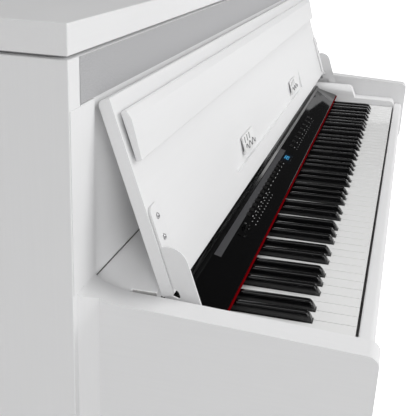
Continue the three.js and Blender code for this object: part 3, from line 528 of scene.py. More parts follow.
def bumped(tree, shader, height, strength, distance):
    bump = add_node(tree, "ShaderNodeBump", Strength=strength, Distance=distance)
    tree.links.new(height, bump.inputs["Height"])
    tree.links.new(bump.outputs["Normal"], shader.inputs["Normal"])


def shade(colour, by):
    return (*[c * by for c in colour], 1.0)


def patterned(name, group, values, bump, depth, sockets):
    """A material that follows a shader group, with plain values on the shader's own sockets."""
    if name in FRAME_FINISHES:
        raise RuntimeError(f"{name}: the frame already has a finish of this name")
    found = bpy.data.materials.get(name)
    if found:
        return found
    material, tree, shader = blank(name)
    place_node = add_node(tree, "ShaderNodeTexCoord")
    pattern = tree.nodes.new("ShaderNodeGroup")
    pattern.node_tree = group
    for key, value in values.items():
        pattern.inputs[key].default_value = value
    tree.links.new(place_node.outputs["Object"], pattern.inputs["Vector"])
    for source, target in (("Colour", "Base Color"), ("Roughness", "Roughness")):
        if source in pattern.outputs:
            tree.links.new(pattern.outputs[source], shader.inputs[target])
    bumped(tree, shader, pattern.outputs["Height"], bump, depth)
    for key, value in sockets.items():
        shader.inputs[key.replace("_", " ")].default_value = value
    return material


def grained(name, colour, stretch, smooth, rough, contrast=0.96, bump=0.1, depth=0.02 * MM, **sockets):
    """A finish whose colour, roughness and bump follow the grain group."""
    values = {"Stretch": stretch, "Light": shade(colour, 1.0), "Dark": shade(colour, contrast),
              "Smooth": smooth, "Rough": rough}
    return patterned(name, grain_group(), values, bump, depth, sockets)


THREAD_CREST_HIGHLIGHT, THREAD_GAP_SHADE = 1.12, 0.72  # painted highlight on a thread's crest and painted shade in the gaps


def woven(name, colour, threads, roughness, bump, depth, **sockets):
    """A cloth finish from the weave group."""
    values = {"Threads": threads, "Light": shade(colour, THREAD_CREST_HIGHLIGHT), "Dark": shade(colour, THREAD_GAP_SHADE)}
    return patterned(name, weave_group(), values, bump, depth, {"Roughness": roughness, **sockets})


def settings():
    return bpy.context.scene.piano


def lacquer(along="X"):
    """Satin white lacquer whose faint grain runs along one axis of the board."""
    long, across = 9.0, 420.0
    stretch = {"X": (long, across, across), "Y": (across, long, across), "Z": (across, across, long)}[along]
    white = tuple(settings().finish.white)
    return grained(f"satin_white_{along}", white, stretch, 0.36, 0.46, 0.975, 0.12, 0.03 * MM,
                   Coat_Weight=0.12, Coat_Roughness=0.25)


def powder_coat():
    return grained("powder_coat", (0.80, 0.80, 0.805), (900, 900, 900), 0.38, 0.52, 0.97, 0.22, 0.03 * MM)


def key_plastic():
    return grained("white_key_gloss", (0.86, 0.86, 0.855), (60, 12, 60), 0.12, 0.24, 0.985, 0.04, 0.01 * MM,
                   Coat_Weight=0.3, Coat_Roughness=0.08)


def sharp_plastic():
    return grained("black_key_gloss", (0.004, 0.004, 0.0045), (900, 40, 900), 0.14, 0.22, 0.6, 0.05,
                   0.01 * MM, Coat_Weight=0.5, Coat_Roughness=0.1)


def piano_black():
    return grained("piano_black", (0.0022, 0.0022, 0.0025), (14, 30, 14), 0.04, 0.1, 0.7, 0.03, 0.005 * MM)


def cap_plastic():
    return grained("cap_plastic", (0.01, 0.01, 0.01), (700, 700, 700), 0.25, 0.4, 0.7, 0.15, 0.01 * MM)


def steel():
    return grained("plated_steel", (0.62, 0.62, 0.63), (500, 500, 500), 0.22, 0.4, 0.85, 0.1, 0.01 * MM,
                   Metallic=1.0)


def printed_white():
    return grained("printed_white", (0.5, 0.5, 0.5), (1500, 1500, 1500), 0.5, 0.6, 0.8)


# ---------- stage ----------
EYE = Vector((-1.3117, -0.2146, 1.1551))
LOOK = Vector((0.90760, 0.22291, -0.35578)).normalized()
HEAD = Vector((0.33420, 0.12937, 0.93360)).normalized()
LENS_MM = 65.82
SENSOR_MM = 36.0
AROUND = 0.46  # strength of the surrounding light on matt surfaces
IN_GLOSS = 0.03  # and as a gloss surface sees it
KEY_POWER = 92.0
SIDE_POWER = 22.0
TOP_POWER = 30.0
CARD_POWER = 1.6  # low card that the black keys' slopes reflect
BEHIND_LID_POWER = 6.0


def soft_light(name, place_at, target, size, power):
    """A square area light that faces a point."""
    data = bpy.data.lights.new(name, "AREA")
    data.shape = "SQUARE"
    data.size = size
    data.energy = power
    lamp = bpy.data.objects.new(name, data)
    lamp.location = place_at
    lamp.rotation_euler = (Vector(target) - Vector(place_at)).to_track_quat("-Z", "Y").to_euler()
    lamp.visible_camera = False
    bpy.context.scene.collection.objects.link(lamp)
    return lamp


def make_stage():
    """Floor, studio light and camera."""
    scene = bpy.context.scene
    scene.view_settings.view_transform = "Standard"
    data = bpy.data.cameras.new("camera")
    data.lens = LENS_MM
    data.sensor_width = SENSOR_MM
    camera = bpy.data.objects.new("camera", data)
    right = LOOK.cross(HEAD).normalized()
    up = right.cross(LOOK)
    camera.matrix_world = Matrix((
        (right.x, up.x, -LOOK.x, EYE.x),
        (right.y, up.y, -LOOK.y, EYE.y),
        (right.z, up.z, -LOOK.z, EYE.z),
        (0, 0, 0, 1),
    ))
    scene.collection.objects.link(camera)
    scene.camera = camera

    world = bpy.data.worlds.new("studio")
    world.use_nodes = True
    tree = world.node_tree
    sky = tree.nodes["Background"]
    path = tree.nodes.new("ShaderNodeLightPath")
    around = tree.nodes.new("ShaderNodeMix")
    around.data_type = "FLOAT"
    around.inputs["A"].default_value = AROUND
    around.inputs["B"].default_value = IN_GLOSS
    seen = tree.nodes.new("ShaderNodeMix")
    seen.data_type = "FLOAT"
    seen.inputs["B"].default_value = 1.0
    tree.links.new(path.outputs["Is Glossy Ray"], around.inputs["Factor"])
    tree.links.new(path.outputs["Is Camera Ray"], seen.inputs["Factor"])
    tree.links.new(around.outputs["Result"], seen.inputs["A"])
    tree.links.new(seen.outputs["Result"], sky.inputs["Strength"])
    sky.inputs["Color"].default_value = (1, 1, 1, 1)
    scene.world = world

    bm = bmesh.new()
    bmesh.ops.create_grid(bm, x_segments=1, y_segments=1, size=30)
    paint = grained("pale_floor", (0.93, 0.93, 0.93), (2, 2, 2), 0.6, 0.7, 0.99,
                    Emission_Color=(1, 1, 1, 1))
    tree = paint.node_tree
    path = tree.nodes.new("ShaderNodeLightPath")
    tree.links.new(path.outputs["Is Camera Ray"], tree.nodes["Principled BSDF"].inputs["Emission Strength"])
    to_object("floor", bm, paint)
    soft_light("key_light", (1.2, -3.4, 3.0), (0.1, 0.0, 0.8), 2.4, KEY_POWER)
    soft_light("side_light", (-3.2, -1.5, 1.9), (-0.4, 0.0, 0.85), 1.6, SIDE_POWER)
    soft_light("top_light", (0.2, 0.2, 4.6), (0.1, 0.0, 0.8), 3.0, TOP_POWER)
    soft_light("low_card", (3.6, -1.05, 0.86), (0.2, -0.1, 0.75), 0.7, CARD_POWER)
    fill = soft_light("fill_behind_lid", (-1.45, -0.3, 1.1), (-0.6, 0.06, 0.88), 0.35, BEHIND_LID_POWER)
    fill.light_linking.receiver_collection = bpy.data.collections.new("behind_lid")


# ---------- cabinet ----------
UPRIGHT_BOARDS = ("side_panel_bass", "side_panel_treble", "leg_bass", "leg_treble")
LONG_BOARDS = ("top_board", "grille_frame", "recess_panel", "shelf_board", "key_bed", "lower_panel",
               "bottom_board", "key_slip")
BEHIND_LID = ("recess_panel", "shelf_board")
DEEP_BOARDS = ("arm_panel_bass", "arm_panel_treble", "key_block_bass", "key_block_treble",
               "toe_block_bass", "toe_block_treble")


NOTCH_FROM_ARM = 4 * MM  # faces further in than this belong to a notch
FILLET_DROP = 110 * MM  # foot of a fillet under the key tops
CROWN_LOW, CROWN_HIGH = 40 * MM, 100 * MM  # the arm's crown over the key tops
CROWN_REACH = 90 * MM
FILLET_STEPS = 14
FRONT_STRIP_T, FRONT_STRIP_INSET = 0.8 * MM, 1.4 * MM


def shade_notch_faces(board):
    """Painted shade: the faces of the lid bracket notches get a darker grey, so they blend with the shelf's
    shade.
    """
    # darker grey painted on the notch faces as shade
    notch_shade_finish = grained("bare_board", (0.42, 0.415, 0.41), (300, 300, 40), 0.7, 0.85, 0.7, 0.3)
    board.data.materials.append(notch_shade_finish)
    for face in board.data.polygons:
        if abs(face.normal.x) > 0.4 and abs(face.center.x) < ARM_IN - NOTCH_FROM_ARM:
            face.material_index = 1


def make_boards():
    """The white boards with rounded edges."""
    edge = settings().boards.edge
    for nodes, along in ((UPRIGHT_BOARDS, "Z"), (LONG_BOARDS, "X"), (DEEP_BOARDS, "Y")):
        for node in nodes:
            made = softened(node, node + "_board", lacquer(along), "white_lacquer", edge)
            if node in BEHIND_LID:
                bpy.data.collections["behind_lid"].objects.link(made)
            # the shelf's notch faces get painted shade
            if node == "shelf_board":
                shade_notch_faces(made)


def make_joint_shadow():
    """Painted shadow: a thin dark strip stands in for the shade in the gap between the shelf and the board
    behind the lid.
    """
    shelf_lo, shelf_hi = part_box("shelf_board")
    recess_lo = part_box("recess_panel")[0]
    high, deep = 1.1 * MM, 0.5 * MM
    long = shelf_hi.x - shelf_lo.x - 2 * MM
    line = bmesh.new()
    # a thin dark strip laid where the gap's shade falls: painted shadow
    block(line, (0, recess_lo.y - deep / 2, shelf_hi.z + high / 2), (long, deep, high))
    place(to_object("shelf_joint_line", line, cap_plastic()), "cabinet", "white_lacquer")


def make_fillets():
    """Concave fillets that carry each arm's face into the cabinet front, and a strip over the joint above."""
    radius = settings().boards.fillet
    arm_lo, arm_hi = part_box("arm_panel_bass")
    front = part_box("side_panel_bass")[0].y
    low = KEY_TOP - FILLET_DROP
    crown = sorted(
        {(round(v.co.y, 6), round(v.co.z, 6)) for v in frame["nodes"]["arm_panel_bass"].data.vertices
         if CROWN_LOW < v.co.z - KEY_TOP < CROWN_HIGH and front - CROWN_REACH < v.co.y <= front + MM}
    )

    def crown_z(y):
        for (y0, z0), (y1, z1) in zip(crown, crown[1:]):
            if y0 <= y <= y1 and y1 > y0:
                return z0 + (z1 - z0) * (y - y0) / (y1 - y0)
        return crown[-1][1]

    for end, sign in ENDS:
        inner = arm_lo.x if sign < 0 else -arm_lo.x
        rings = []
        for k in range(FILLET_STEPS + 1):
            a = math.pi / 2 * k / FILLET_STEPS
            y = front - radius * math.cos(a)
            out = max(radius * (1 - math.sin(math.pi / 2 - a)), 0.15 * MM)
            x = inner + sign * out
            top = crown_z(y) - 0.05 * MM
            rings.append([(inner, y, low), (x, y, low), (x, y, top), (inner, y, top)])
        bm = bmesh.new()
        loft(bm, rings)
        made = to_object(f"arm_fillet_{end}", bm, lacquer("Z"))
        place(made, "cabinet", "white_lacquer")
        foot, head = max(z for _, z in crown) + MM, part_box("grille_cloth")[0].z - MM
        side_lo, side_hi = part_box(f"side_panel_{end}")
        outer = side_lo.x if sign < 0 else side_hi.x
        inset = sign * FRONT_STRIP_INSET
        left, right = sorted((outer - inset, sign * ARM_IN + inset))
        strip = bmesh.new()
        size = (right - left, FRONT_STRIP_T, head - foot)
        block(strip, ((left + right) / 2, front - 0.3 * MM, (foot + head) / 2), size)
        made = rounded(to_object(f"front_strip_{end}", strip, lacquer("Z")), 0.35 * MM)
        place(made, "cabinet", "white_lacquer")


def make_grille():
    """Speaker cloth stretched over a thin backing."""
    lo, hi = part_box("grille_cloth")
    backing = bmesh.new()
    thick = 1.6 * MM
    block(backing, ((lo.x + hi.x) / 2, hi.y - thick / 2, (lo.z + hi.z) / 2),
          (hi.x - lo.x, thick, hi.z - lo.z))
    board = rounded(to_object("grille_backing", backing, lacquer("X")), 0.4 * MM)
    place(board, "cabinet", "white_lacquer")
    inset = 0.4 * MM
    width, height = hi.x - lo.x - 2 * inset, hi.z - lo.z - 2 * inset
    across, up = 240, 10
    bm = bmesh.new()
    grid = []
    for i in range(across + 1):
        column = []
        for k in range(up + 1):
            x = lo.x + inset + width * i / across
            z = lo.z + inset + height * k / up
            rise = 0.12 * MM * noise.noise(Vector((x * 60, 0, z * 60)))
            column.append(bm.verts.new((x, lo.y + 0.5 * MM + rise, z)))
        grid.append(column)
    for i in range(across):
        for k in range(up):
            bm.faces.new((grid[i][k], grid[i + 1][k], grid[i + 1][k + 1], grid[i][k + 1]))
    cloth = woven("speaker_cloth", tuple(settings().finish.cloth), 5200.0, 0.95, 0.5, 0.08 * MM,
                  Sheen_Weight=0.15)
    made = to_object("speaker_cloth", bm, cloth)
    place(made, "cabinet", "grille_cloth", "grille_cloth")


# ---------- keyboard ----------
WHITE_FREE = ("C4", "D4", "E4", "F4", "G4", "A4", "B4")
BLACK_FREE = ("Cs4", "Ds4", "Fs4", "Gs4", "As4")
OCTAVES_BELOW = 3
OCTAVES_ABOVE = 3


def make_white_keys():
    """White keys with softened edges: the two banks and the free octave."""
    edge = settings().keys.edge
    softened("white_keys_low", "white_key_bank_low", key_plastic(), "white_key", edge)
    softened("white_keys_high", "white_key_bank_high", key_plastic(), "white_key", edge)
    for tone in WHITE_FREE:
        softened(f"key_{tone}", f"white_key_{tone}", key_plastic(), "white_key", edge)


def black_key_part():
    """One black key with leaning sides and a sloping front; its own front edge is the origin."""
    keys = settings().keys
    lo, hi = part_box("key_Cs4")
    low, high = lo.z - KEY_TOP, hi.z - KEY_TOP
    tail_top = -1.5 * MM
    length = 98 * MM
    tail = hi.y - lo.y - 0.3 * MM
    base, top = keys.base_width / 2, keys.top_width / 2

    def half(z):
        return base + (top - base) * (z - low) / (high - low)

    def ring(y, crest, radius):
        corner = half(crest)
        points = [(-base, y, low)]
        for k in range(4):
            a = math.pi / 2 * k / 3
            points.append((-corner + radius * (1 - math.cos(a)), y, crest - radius * (1 - math.sin(a))))
        for k in range(4):
            a = math.pi / 2 * (1 - k / 3)
            points.append((corner - radius * (1 - math.cos(a)), y, crest - radius * (1 - math.sin(a))))
        points.append((base, y, low))
        return points

    stations = [(0.0, 1.2, 0.7), (0.5, 2.8, 0.9), (3.6, 7.4, 1.1), (6.2, 10.3, 1.3), (8.0, 11.1, 1.6),
                (10.0, 11.3, 1.8), (96.0, 9.9, 1.8)]
    rings = [ring(y * MM, z * MM, r * MM) for y, z, r in stations]
    rings += [ring(length, tail_top, 0.4 * MM), ring(tail, tail_top, 0.4 * MM)]
    bm = bmesh.new()
    loft(bm, rings)
    return to_object("black_key_part", bm, sharp_plastic())


def make_black_keys():
    """Black keys: copies in the two banks, and one for each free key."""
    part = black_key_part()
    up = (0, 0, 1)
    octave = 7 * (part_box("key_D4")[0].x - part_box("key_C4")[0].x)
    seats = []
    for tone in BLACK_FREE:
        lo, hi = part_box(f"key_{tone}")
        seats.append(Vector(((lo.x + hi.x) / 2, lo.y, KEY_TOP)))
    low = [seat - Vector((octave * k, 0, 0)) for k in range(1, OCTAVES_BELOW + 1) for seat in seats]
    low.append(seats[-1] - Vector((octave * (OCTAVES_BELOW + 1), 0, 0)))
    high = [seat + Vector((octave * k, 0, 0)) for k in range(1, OCTAVES_ABOVE + 1) for seat in seats]
    for name, points in (("low", low), ("high", high)):
        bank = copies(f"black_key_bank_{name}", part, points, up, sharp_plastic())
        place(bank, "cabinet", "black_key", f"black_keys_{name}")
    for tone, seat in zip(BLACK_FREE, seats):
        key = copies(f"black_key_{tone}", part, [seat], up, sharp_plastic())
        place(key, f"key_{tone}", "black_key", f"key_{tone}")
    discard(part)


def make_felt():
    """Red felt strip behind the keys, with an uneven edge."""
    lo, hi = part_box("key_felt")
    rings = []
    steps = 420
    for i in range(steps + 1):
        x = lo.x + (hi.x - lo.x) * i / steps
        wave = 0.22 * MM * noise.noise(Vector((x * 130, 3.0, 0)))
        lift = 0.12 * MM * noise.noise(Vector((x * 210, 9.0, 0)))
        front = lo.y + 0.25 * MM + wave
        top = hi.z - 0.12 * MM + lift
        rings.append([
            (x, front, lo.z), (x, hi.y, lo.z), (x, hi.y, top),
            (x, front + 0.6 * MM, top), (x, front, top - 0.6 * MM),
        ])
    bm = bmesh.new()
    loft(bm, rings)
    felt = woven("felt_cloth", tuple(settings().finish.felt), 3000.0, 1.0, 0.8, 0.12 * MM,
                 IOR=1.0, Specular_IOR_Level=0.0)
    place(to_object("felt_strip", bm, felt), "cabinet", "red_felt", "key_felt")


def make_chassis():
    """Finish of the steel chassis under the keys."""
    node = frame["nodes"]["key_chassis"]
    node.data.materials.clear()
    node.data.materials.append(
        grained("galvanised", (0.5, 0.51, 0.52), (140, 140, 140), 0.35, 0.6, 0.7, 0.1, Metallic=1.0))


# ---------- control panel ----------
STRIP_FROM, STRIP_TO = -468 * MM, 31 * MM
STRIP_FRONT, STRIP_BACK = 35 * MM, 44.5 * MM


def make_panel():
    """The black shell and the satin strip along its ridge."""
    softened("control_panel", "panel_shell", piano_black(), "gloss_black", 0.35 * MM)
    bm = bmesh.new()
    middle = on_panel((STRIP_FROM + STRIP_TO) / 2, (STRIP_FRONT + STRIP_BACK) / 2, 0.1 * MM)
    size = (STRIP_TO - STRIP_FROM, STRIP_BACK - STRIP_FRONT, 0.4 * MM)
    block(bm, middle, size, PANEL_TURN)
    strip = grained("satin_grey", (0.085, 0.085, 0.09), (30, 900, 900), 0.3, 0.4, 0.85, 0.1)
    place(rounded(to_object("panel_strip", bm, strip), 0.15 * MM), "cabinet", "gloss_black")


def cap_part(width, depth):
    """Push-button cap with a dished top, in the panel's own tilt."""
    bm = bmesh.new()
    rows, columns = 6, 8
    rise, dish, skirt = 1.2 * MM, 0.35 * MM, 6.5 * MM
    top = []
    for i in range(columns + 1):
        line = []
        for k in range(rows + 1):
            u, v = 2 * i / columns - 1, 2 * k / rows - 1
            edge = max(abs(u), abs(v)) ** 6
            z = rise - dish * (1 - u * u) * (1 - v * v) - 0.45 * MM * edge
            line.append(bm.verts.new((u * width / 2, v * depth / 2, z)))
        top.append(line)
    for i in range(columns):
        for k in range(rows):
            bm.faces.new((top[i][k], top[i + 1][k], top[i + 1][k + 1], top[i][k + 1]))
    rim = [line[0] for line in top] + top[-1][1:] + [line[-1] for line in reversed(top[:-1])]
    rim += list(reversed(top[0][1:-1]))
    foot = [bm.verts.new((v.co.x, v.co.y, -skirt)) for v in rim]
    for i in range(len(rim)):
        j = (i + 1) % len(rim)
        bm.faces.new((rim[j], rim[i], foot[i], foot[j]))
    bm.faces.new(list(reversed(foot)))
    bmesh.ops.recalc_face_normals(bm, faces=bm.faces)
    bm.transform(PANEL_TURN)
    return to_object("cap_part", bm, cap_plastic())


def cap_row(node, count, first, pitch, back):
    """A row of caps and the carrier strip under them, both on the row's own body."""
    width, depth = 11 * MM, 6 * MM
    part = cap_part(width, depth)
    start = on_panel(first, back)
    caps = row(node + "_caps", part, count, start, (pitch, 0, 0), cap_plastic())
    discard(part)
    place(caps, node, "button_black", node)
    bm = bmesh.new()
    run = pitch * (count - 1)
    block(bm, on_panel(first + run / 2, back, -8 * MM), (run + width, depth, 2 * MM), PANEL_TURN)
    place(rounded(to_object(node + "_carrier", bm, cap_plastic()), 0.3 * MM), node, "button_black")


ROUND_BACK = 27 * MM  # middle of the round controls and of the digits, behind the panel's front edge
POWER_PROFILE = ((0, -6), (6, -6), (6, 0.6), (5.6, 1.0), (0, 0.7))  # radius and height, mm
KNOB_PROFILE = ((0, -6), (6, -6), (6, 1.1), (5.6, 1.5), (4.8, 1.5), (4.6, 5.4), (4.0, 6.0), (0, 5.8))
FLUTES, FLUTE_DEPTH = 24, 0.04


def fluted(bm):
    """Shallow flutes round the knob's grip."""
    for vert in bm.verts:
        reach = math.hypot(vert.co.x, vert.co.y)
        if 4 * MM < reach < 5 * MM and vert.co.z > 1.6 * MM:
            scale = 1 + FLUTE_DEPTH * math.cos(FLUTES * math.atan2(vert.co.y, vert.co.x))
            vert.co.x *= scale
            vert.co.y *= scale


def round_control(node, profile, shape=None):
    """A turned control on the panel, at its node's middle; returns where it is seated."""
    lo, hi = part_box(node)
    bm = bmesh.new()
    turned(bm, [(r * MM, z * MM) for r, z in profile], 48)
    if shape:
        shape(bm)
    bm.transform(PANEL_TURN)
    seat = on_panel((lo.x + hi.x) / 2, ROUND_BACK)
    bm.transform(Matrix.Translation(seat))
    place(to_object(node + "_cap", bm, piano_black()), node, "gloss_black", node)
    return seat


def make_buttons():
    """Both button rows, the power button and the volume knob."""
    cap_row("voice_buttons", 14, -310 * MM, 20.6 * MM, 33 * MM)
    cap_row("song_buttons", 8, 70 * MM, 34 * MM, 31 * MM)
    round_control("power_button", POWER_PROFILE)
    seat = round_control("volume_knob", KNOB_PROFILE, fluted)
    mark = bmesh.new()
    middle = seat + PANEL_OUT * 6.0 * MM + PANEL_UP * 2.4 * MM
    block(mark, middle, (0.7 * MM, 2.6 * MM, 0.2 * MM), PANEL_TURN)
    place(to_object("volume_mark", mark, printed_white()), "volume_knob", "gloss_black")


def make_marks():
    """Printed dots and dashes: plain marks, no lettering."""
    dot = settings().panel.dot
    bm = bmesh.new()
    bmesh.ops.create_circle(bm, cap_ends=True, segments=12, radius=dot)
    flat = to_object("dot_part", bm, printed_white())
    bm = bmesh.new()
    block(bm, Vector((0, 0, 0.0)), (5.2 * MM, 0.9 * MM, 0.04 * MM))
    dash = to_object("dash_part", bm, printed_white())
    lift = 0.06 * MM
    dots = [on_panel((x + 13 * i) * MM, back * MM, lift) for x, back in ((-334, 17.5), (-328, 23.5))
            for i in range(11)]
    dots += [on_panel((64 + 17 * i) * MM, 19 * MM, lift) for i in range(15)]
    dashes = [on_panel((-310 + 20.6 * i) * MM, 26.6 * MM, lift) for i in range(14)]
    dashes += [on_panel((70 + 34 * i) * MM, 24.0 * MM, lift) for i in range(8)]
    dashes += [on_panel(x * MM, 37.5 * MM, lift) for x in (-383, -356)]
    for name, part, points in (("panel_dots", flat, dots), ("panel_dashes", dash, dashes)):
        made = copies(name, part, points, tuple(PANEL_OUT), printed_white())
        place(made, "cabinet", "gloss_black")
        discard(part)


SEGMENTS = {2: "abged", 8: "abcdefg"}


def make_display():
    """Smoked window with two lit seven-segment digits."""
    glass = grained("smoked_window", (0.004, 0.006, 0.01), (20, 20, 20), 0.04, 0.08, 0.8, 0.02)
    softened("display_window", "display_glass", glass, "display", 0.2 * MM)
    lo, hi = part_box("display_window")
    lit, tree, shader = blank("lit_digits")
    colour = (*settings().finish.digits, 1.0)
    glow = add_node(tree, "ShaderNodeTexNoise", Scale=900.0)
    tint = mixed(tree, glow.outputs["Fac"], colour, shade(colour[:3], 1.25))
    tree.links.new(tint, shader.inputs["Emission Color"])
    shader.inputs["Base Color"].default_value = shade(colour[:3], 0.3)
    shader.inputs["Emission Strength"].default_value = 1.1
    tall = settings().panel.digit_height
    wide, stroke, gap = tall * 1.1, tall * 0.17, tall * 0.06
    middle = (lo.x + hi.x) / 2
    bars = {
        "a": (0, tall / 2, wide, 0), "g": (0, 0, wide, 0), "d": (0, -tall / 2, wide, 0),
        "b": (wide / 2, tall / 4, 0, tall / 2), "c": (wide / 2, -tall / 4, 0, tall / 2),
        "e": (-wide / 2, -tall / 4, 0, tall / 2), "f": (-wide / 2, tall / 4, 0, tall / 2),
    }
    bm = bmesh.new()
    for column, digit in ((-0.5, 2), (0.5, 8)):
        for name in SEGMENTS[digit]:
            x, y, along, up = bars[name]
            size = (max(along - gap * 2, stroke), max(up - gap * 2, stroke), 0.1 * MM)
            seat = on_panel(middle + column * wide * 1.45 + x, ROUND_BACK, -0.3 * MM) + PANEL_UP * y
            block(bm, seat, size, PANEL_TURN)
    place(to_object("lit_digits", bm, lit), "cabinet", "display")


# ---------- lid ----------
def screw_part(radius):
    """Pan-head screw with a cross recess; its seat is the origin and its head points along Z."""
    height = radius * 0.55
    arc = [(radius * math.sin(a), height * math.cos(a)) for a in (1.35, 1.1, 0.85, 0.6, 0.3)]
    shank, under = radius * 0.5, -1.0 * MM
    bm = bmesh.new()
    turned(bm, [(0, under), (shank, under), (shank, 0), (radius, 0), *arc, (0, height)], 24)
    head = to_object("screw_part", bm, steel())
    cross = bmesh.new()
    for size in ((radius * 1.15, radius * 0.26, height), (radius * 0.26, radius * 1.15, height)):
        block(cross, (0, 0, height * 0.85), size)
    tool = to_object("screw_cross", cross, steel())
    bite = head.modifiers.new("recess", "BOOLEAN")
    bite.object = tool
    bite.operation = "DIFFERENCE"
    bite.solver = "EXACT"
    bite.use_self = True
    flatten(head)
    shaded(head.data)
    discard(tool)
    return head


def make_lid():
    """The folding lid, its music shelf and its pins."""
    softened("key_lid", "lid_board", lacquer("X"), "white_lacquer", 1.0 * MM)
    softened("music_shelf", "shelf_leaf", lacquer("X"), "white_lacquer", 0.7 * MM)
    for end, _ in ENDS:
        softened(f"lid_pin_{end}", f"hinge_pin_{end}", steel(), "steel_pin", 0.4 * MM)


FLANGE_MIDDLE = 634.5 * MM  # bracket plate, from the middle of the lid
SCREW_S = (81 * MM, 58 * MM)  # screws, up from the lid's foot
SPRING_STEPS, SPRING_WAVES = 60, 3
SLOT_LEAN = math.radians(-12)


def make_brackets():
    """Lid brackets with their screws."""
    part = screw_part(settings().lid.screw)
    for end, sign in ENDS:
        softened(f"lid_bracket_{end}", f"bracket_{end}", powder_coat(), "white_steel", 0.5 * MM)
        points = [on_lid(sign * FLANGE_MIDDLE, s, 2.8 * MM) for s in SCREW_S]
        screws = copies(f"bracket_screws_{end}", part, points, tuple(LID_OUT), steel(), math.pi)
        place(screws, "lid", "white_steel")
    discard(part)


def make_clips():
    """Page clips with three slanted dark marks, painted shade where slots are, and a curled wire spring each.
    """
    wire_and_slot_shade = grained("clip_wire", (0.22, 0.22, 0.23), (600, 600, 600), 0.3, 0.5, 0.7, Metallic=1.0)
    for end, _ in ENDS:
        node = f"page_clip_{end}"
        softened(node, f"clip_{end}", grained("clip_plastic", (0.82, 0.82, 0.82), (500, 500, 500),
                 0.3, 0.4, 0.98), "page_clip", 0.9 * MM)
        middle = sum(corner.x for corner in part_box(node)) / 2
        bm = bmesh.new()
        turn = LID_TURN @ Matrix.Rotation(SLOT_LEAN, 4, "Z")
        # thin dark blocks on the clip's face: painted shade where the slots are
        for step in (-1, 0, 1):
            block(bm, on_lid(middle + (step * 15 - 9) * MM, 57.5 * MM, 2.62 * MM),
                  (3.4 * MM, 9.5 * MM, 0.12 * MM), turn)
        place(to_object(f"clip_slots_{end}", bm, wire_and_slot_shade), node, "page_clip")
        curl = bpy.data.curves.new(f"clip_spring_{end}", "CURVE")
        curl.dimensions = "3D"
        curl.bevel_depth = 0.5 * MM
        curl.bevel_resolution = 2
        spline = curl.splines.new("POLY")
        spline.points.add(SPRING_STEPS)
        for i in range(SPRING_STEPS + 1):
            t = i / SPRING_STEPS
            x = middle + (60 * t - 26) * MM
            s = (46.0 + 4.2 * math.sin(2 * math.pi * SPRING_WAVES * t)) * MM
            spline.points[i].co = (*on_lid(x, s, 3.0 * MM), 1)
        wired = bpy.data.objects.new(f"clip_spring_{end}", curl)
        bpy.context.scene.collection.objects.link(wired)
        graph = bpy.context.evaluated_depsgraph_get()
        mesh = bpy.data.meshes.new_from_object(wired.evaluated_get(graph))
        discard(wired)
        mesh.materials.clear()
        mesh.materials.append(wire_and_slot_shade)
        spring = bpy.data.objects.new(f"clip_spring_{end}", shaded(mesh))
        bpy.context.scene.collection.objects.link(spring)
        place(spring, node, "page_clip")


# ---------- pedals, back and inside ----------
def make_pedals():
    """Polished pedals and their housing."""
    brass = grained("brass_plate", (0.78, 0.58, 0.27), (60, 60, 60), 0.12, 0.24, 0.9, 0.05, Metallic=1.0)
    for name in ("soft", "sostenuto", "sustain"):
        softened(f"pedal_{name}", f"pedal_bar_{name}", brass, "pedal_brass", 1.6 * MM, 3)
    softened("pedal_box", "pedal_housing", powder_coat(), "white_steel", 0.8 * MM)


def make_back():
    """Back board with its screws, and the mains inlet."""
    board = grained("raw_board", (0.7, 0.7, 0.69), (9, 420, 420), 0.6, 0.75, 0.95, 0.15)
    softened("back_panel", "back_board", board, "back_board", 0.5 * MM)
    inlet = grained("inlet_plastic", (0.02, 0.02, 0.02), (400, 400, 400), 0.4, 0.55, 0.7, 0.15)
    softened("power_inlet", "inlet_body", inlet, "inlet_black", 0.3 * MM)
    lo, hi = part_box("back_panel")
    part = screw_part(3.0 * MM)
    edge = 14 * MM
    xs = [lo.x + edge + (hi.x - lo.x - 2 * edge) * k / 8 for k in range(9)]
    zs = [lo.z + edge + (hi.z - lo.z - 2 * edge) * k / 5 for k in range(1, 5)]
    face = hi.y - 1.7 * MM
    points = [(x, face, z) for x in xs for z in (lo.z + edge, hi.z - edge)]
    points += [(x, face, z) for x in (xs[0], xs[-1]) for z in zs]
    screws = copies("back_screws", part, points, (0, 1, 0), steel(), math.pi)
    place(screws, "cabinet", "back_board")
    discard(part)


def make_inside():
    """Finishes of the speakers and the circuit board inside the cabinet."""
    cone = grained("speaker_cone", (0.025, 0.025, 0.026), (300, 300, 300), 0.55, 0.75, 0.6, 0.3)
    green = grained("circuit_green", (0.02, 0.12, 0.05), (240, 240, 240), 0.3, 0.5, 0.6, 0.2)
    for node, material, slot in (
        ("speaker_bass", cone, "speaker_black"),
        ("speaker_treble", cone, "speaker_black"),
        ("main_board", green, "circuit_board"),
    ):
        made = frame["nodes"][node]
        made.data.materials.clear()
        made.data.materials.append(material)


# ---------- operators and panel ----------
class PieceOperator:
    """What every piece's operator does: it runs its makers in order."""

    bl_options = {"REGISTER", "UNDO"}
    makers = ()

    def execute(self, context):
        for make in self.makers:
            make()
        return {"FINISHED"}


class PIANO_OT_stage(PieceOperator, bpy.types.Operator):
    """Make the floor, the lights and the camera"""

    bl_idname = "piano.stage"
    bl_label = "Stage"
    makers = (make_stage,)


class PIANO_OT_cabinet(PieceOperator, bpy.types.Operator):
    """Make the white boards, the arm fillets and the speaker cloth"""

    bl_idname = "piano.cabinet"
    bl_label = "Cabinet"
    makers = (make_boards, make_joint_shadow, make_fillets, make_grille)


class PIANO_OT_keyboard(PieceOperator, bpy.types.Operator):
    """Make the keys, the felt strip and the chassis finish"""

    bl_idname = "piano.keyboard"
    bl_label = "Keyboard"
    makers = (make_white_keys, make_black_keys, make_felt, make_chassis)


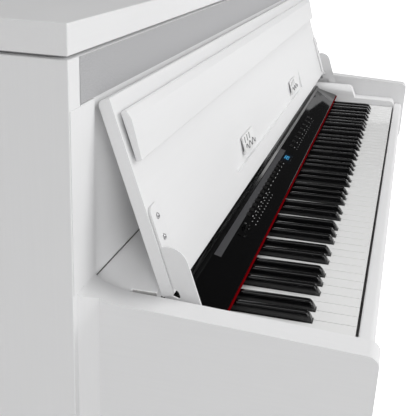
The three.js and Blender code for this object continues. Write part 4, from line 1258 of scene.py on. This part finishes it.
class PIANO_OT_panel(PieceOperator, bpy.types.Operator):
    """Make the control panel, its buttons, marks and display"""

    bl_idname = "piano.panel"
    bl_label = "Control panel"
    makers = (make_panel, make_buttons, make_marks, make_display)


class PIANO_OT_lid(PieceOperator, bpy.types.Operator):
    """Make the lid, the music shelf, the brackets and the page clips"""

    bl_idname = "piano.lid"
    bl_label = "Lid"
    makers = (make_lid, make_brackets, make_clips)


class PIANO_OT_pedals(PieceOperator, bpy.types.Operator):
    """Make the pedals and their housing"""

    bl_idname = "piano.pedals"
    bl_label = "Pedals"
    makers = (make_pedals,)


class PIANO_OT_back(PieceOperator, bpy.types.Operator):
    """Make the back board, the mains inlet and the finishes inside"""

    bl_idname = "piano.back"
    bl_label = "Back and inside"
    makers = (make_back, make_inside)


class PIANO_PG_piano(bpy.types.PropertyGroup):
    finish: bpy.props.PointerProperty(type=PIANO_PG_finish)
    boards: bpy.props.PointerProperty(type=PIANO_PG_boards)
    keys: bpy.props.PointerProperty(type=PIANO_PG_keys)
    panel: bpy.props.PointerProperty(type=PIANO_PG_panel)
    lid: bpy.props.PointerProperty(type=PIANO_PG_lid)


OPERATORS = (
    PIANO_OT_stage,
    PIANO_OT_cabinet,
    PIANO_OT_keyboard,
    PIANO_OT_panel,
    PIANO_OT_lid,
    PIANO_OT_pedals,
    PIANO_OT_back,
)
GROUPS = (PIANO_PG_finish, PIANO_PG_boards, PIANO_PG_keys, PIANO_PG_panel, PIANO_PG_lid, PIANO_PG_piano)


class PIANO_PT_sidebar(bpy.types.Panel):
    """Lists the sizes, the colours and the pieces"""

    bl_idname = "PIANO_PT_sidebar"
    bl_label = "Upright digital piano"
    bl_space_type = "VIEW_3D"
    bl_region_type = "UI"
    bl_category = "Piano"

    def draw(self, context):
        groups = context.scene.piano
        for group in (groups.finish, groups.boards, groups.keys, groups.panel, groups.lid):
            for name in group.__annotations__:
                self.layout.prop(group, name)
        for operator in OPERATORS:
            self.layout.operator(operator.bl_idname)


CLASSES = (*GROUPS, *OPERATORS, PIANO_PT_sidebar)


def register():
    for cls in CLASSES:
        bpy.utils.register_class(cls)
    bpy.types.Scene.piano = bpy.props.PointerProperty(type=PIANO_PG_piano)


def unregister():
    del bpy.types.Scene.piano
    for cls in reversed(CLASSES):
        bpy.utils.unregister_class(cls)


def main():
    """Registers the add-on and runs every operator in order."""
    register()
    for operator in OPERATORS:
        group, name = operator.bl_idname.split(".")
        getattr(getattr(bpy.ops, group), name)()


if __name__ == "__main__":
    main()
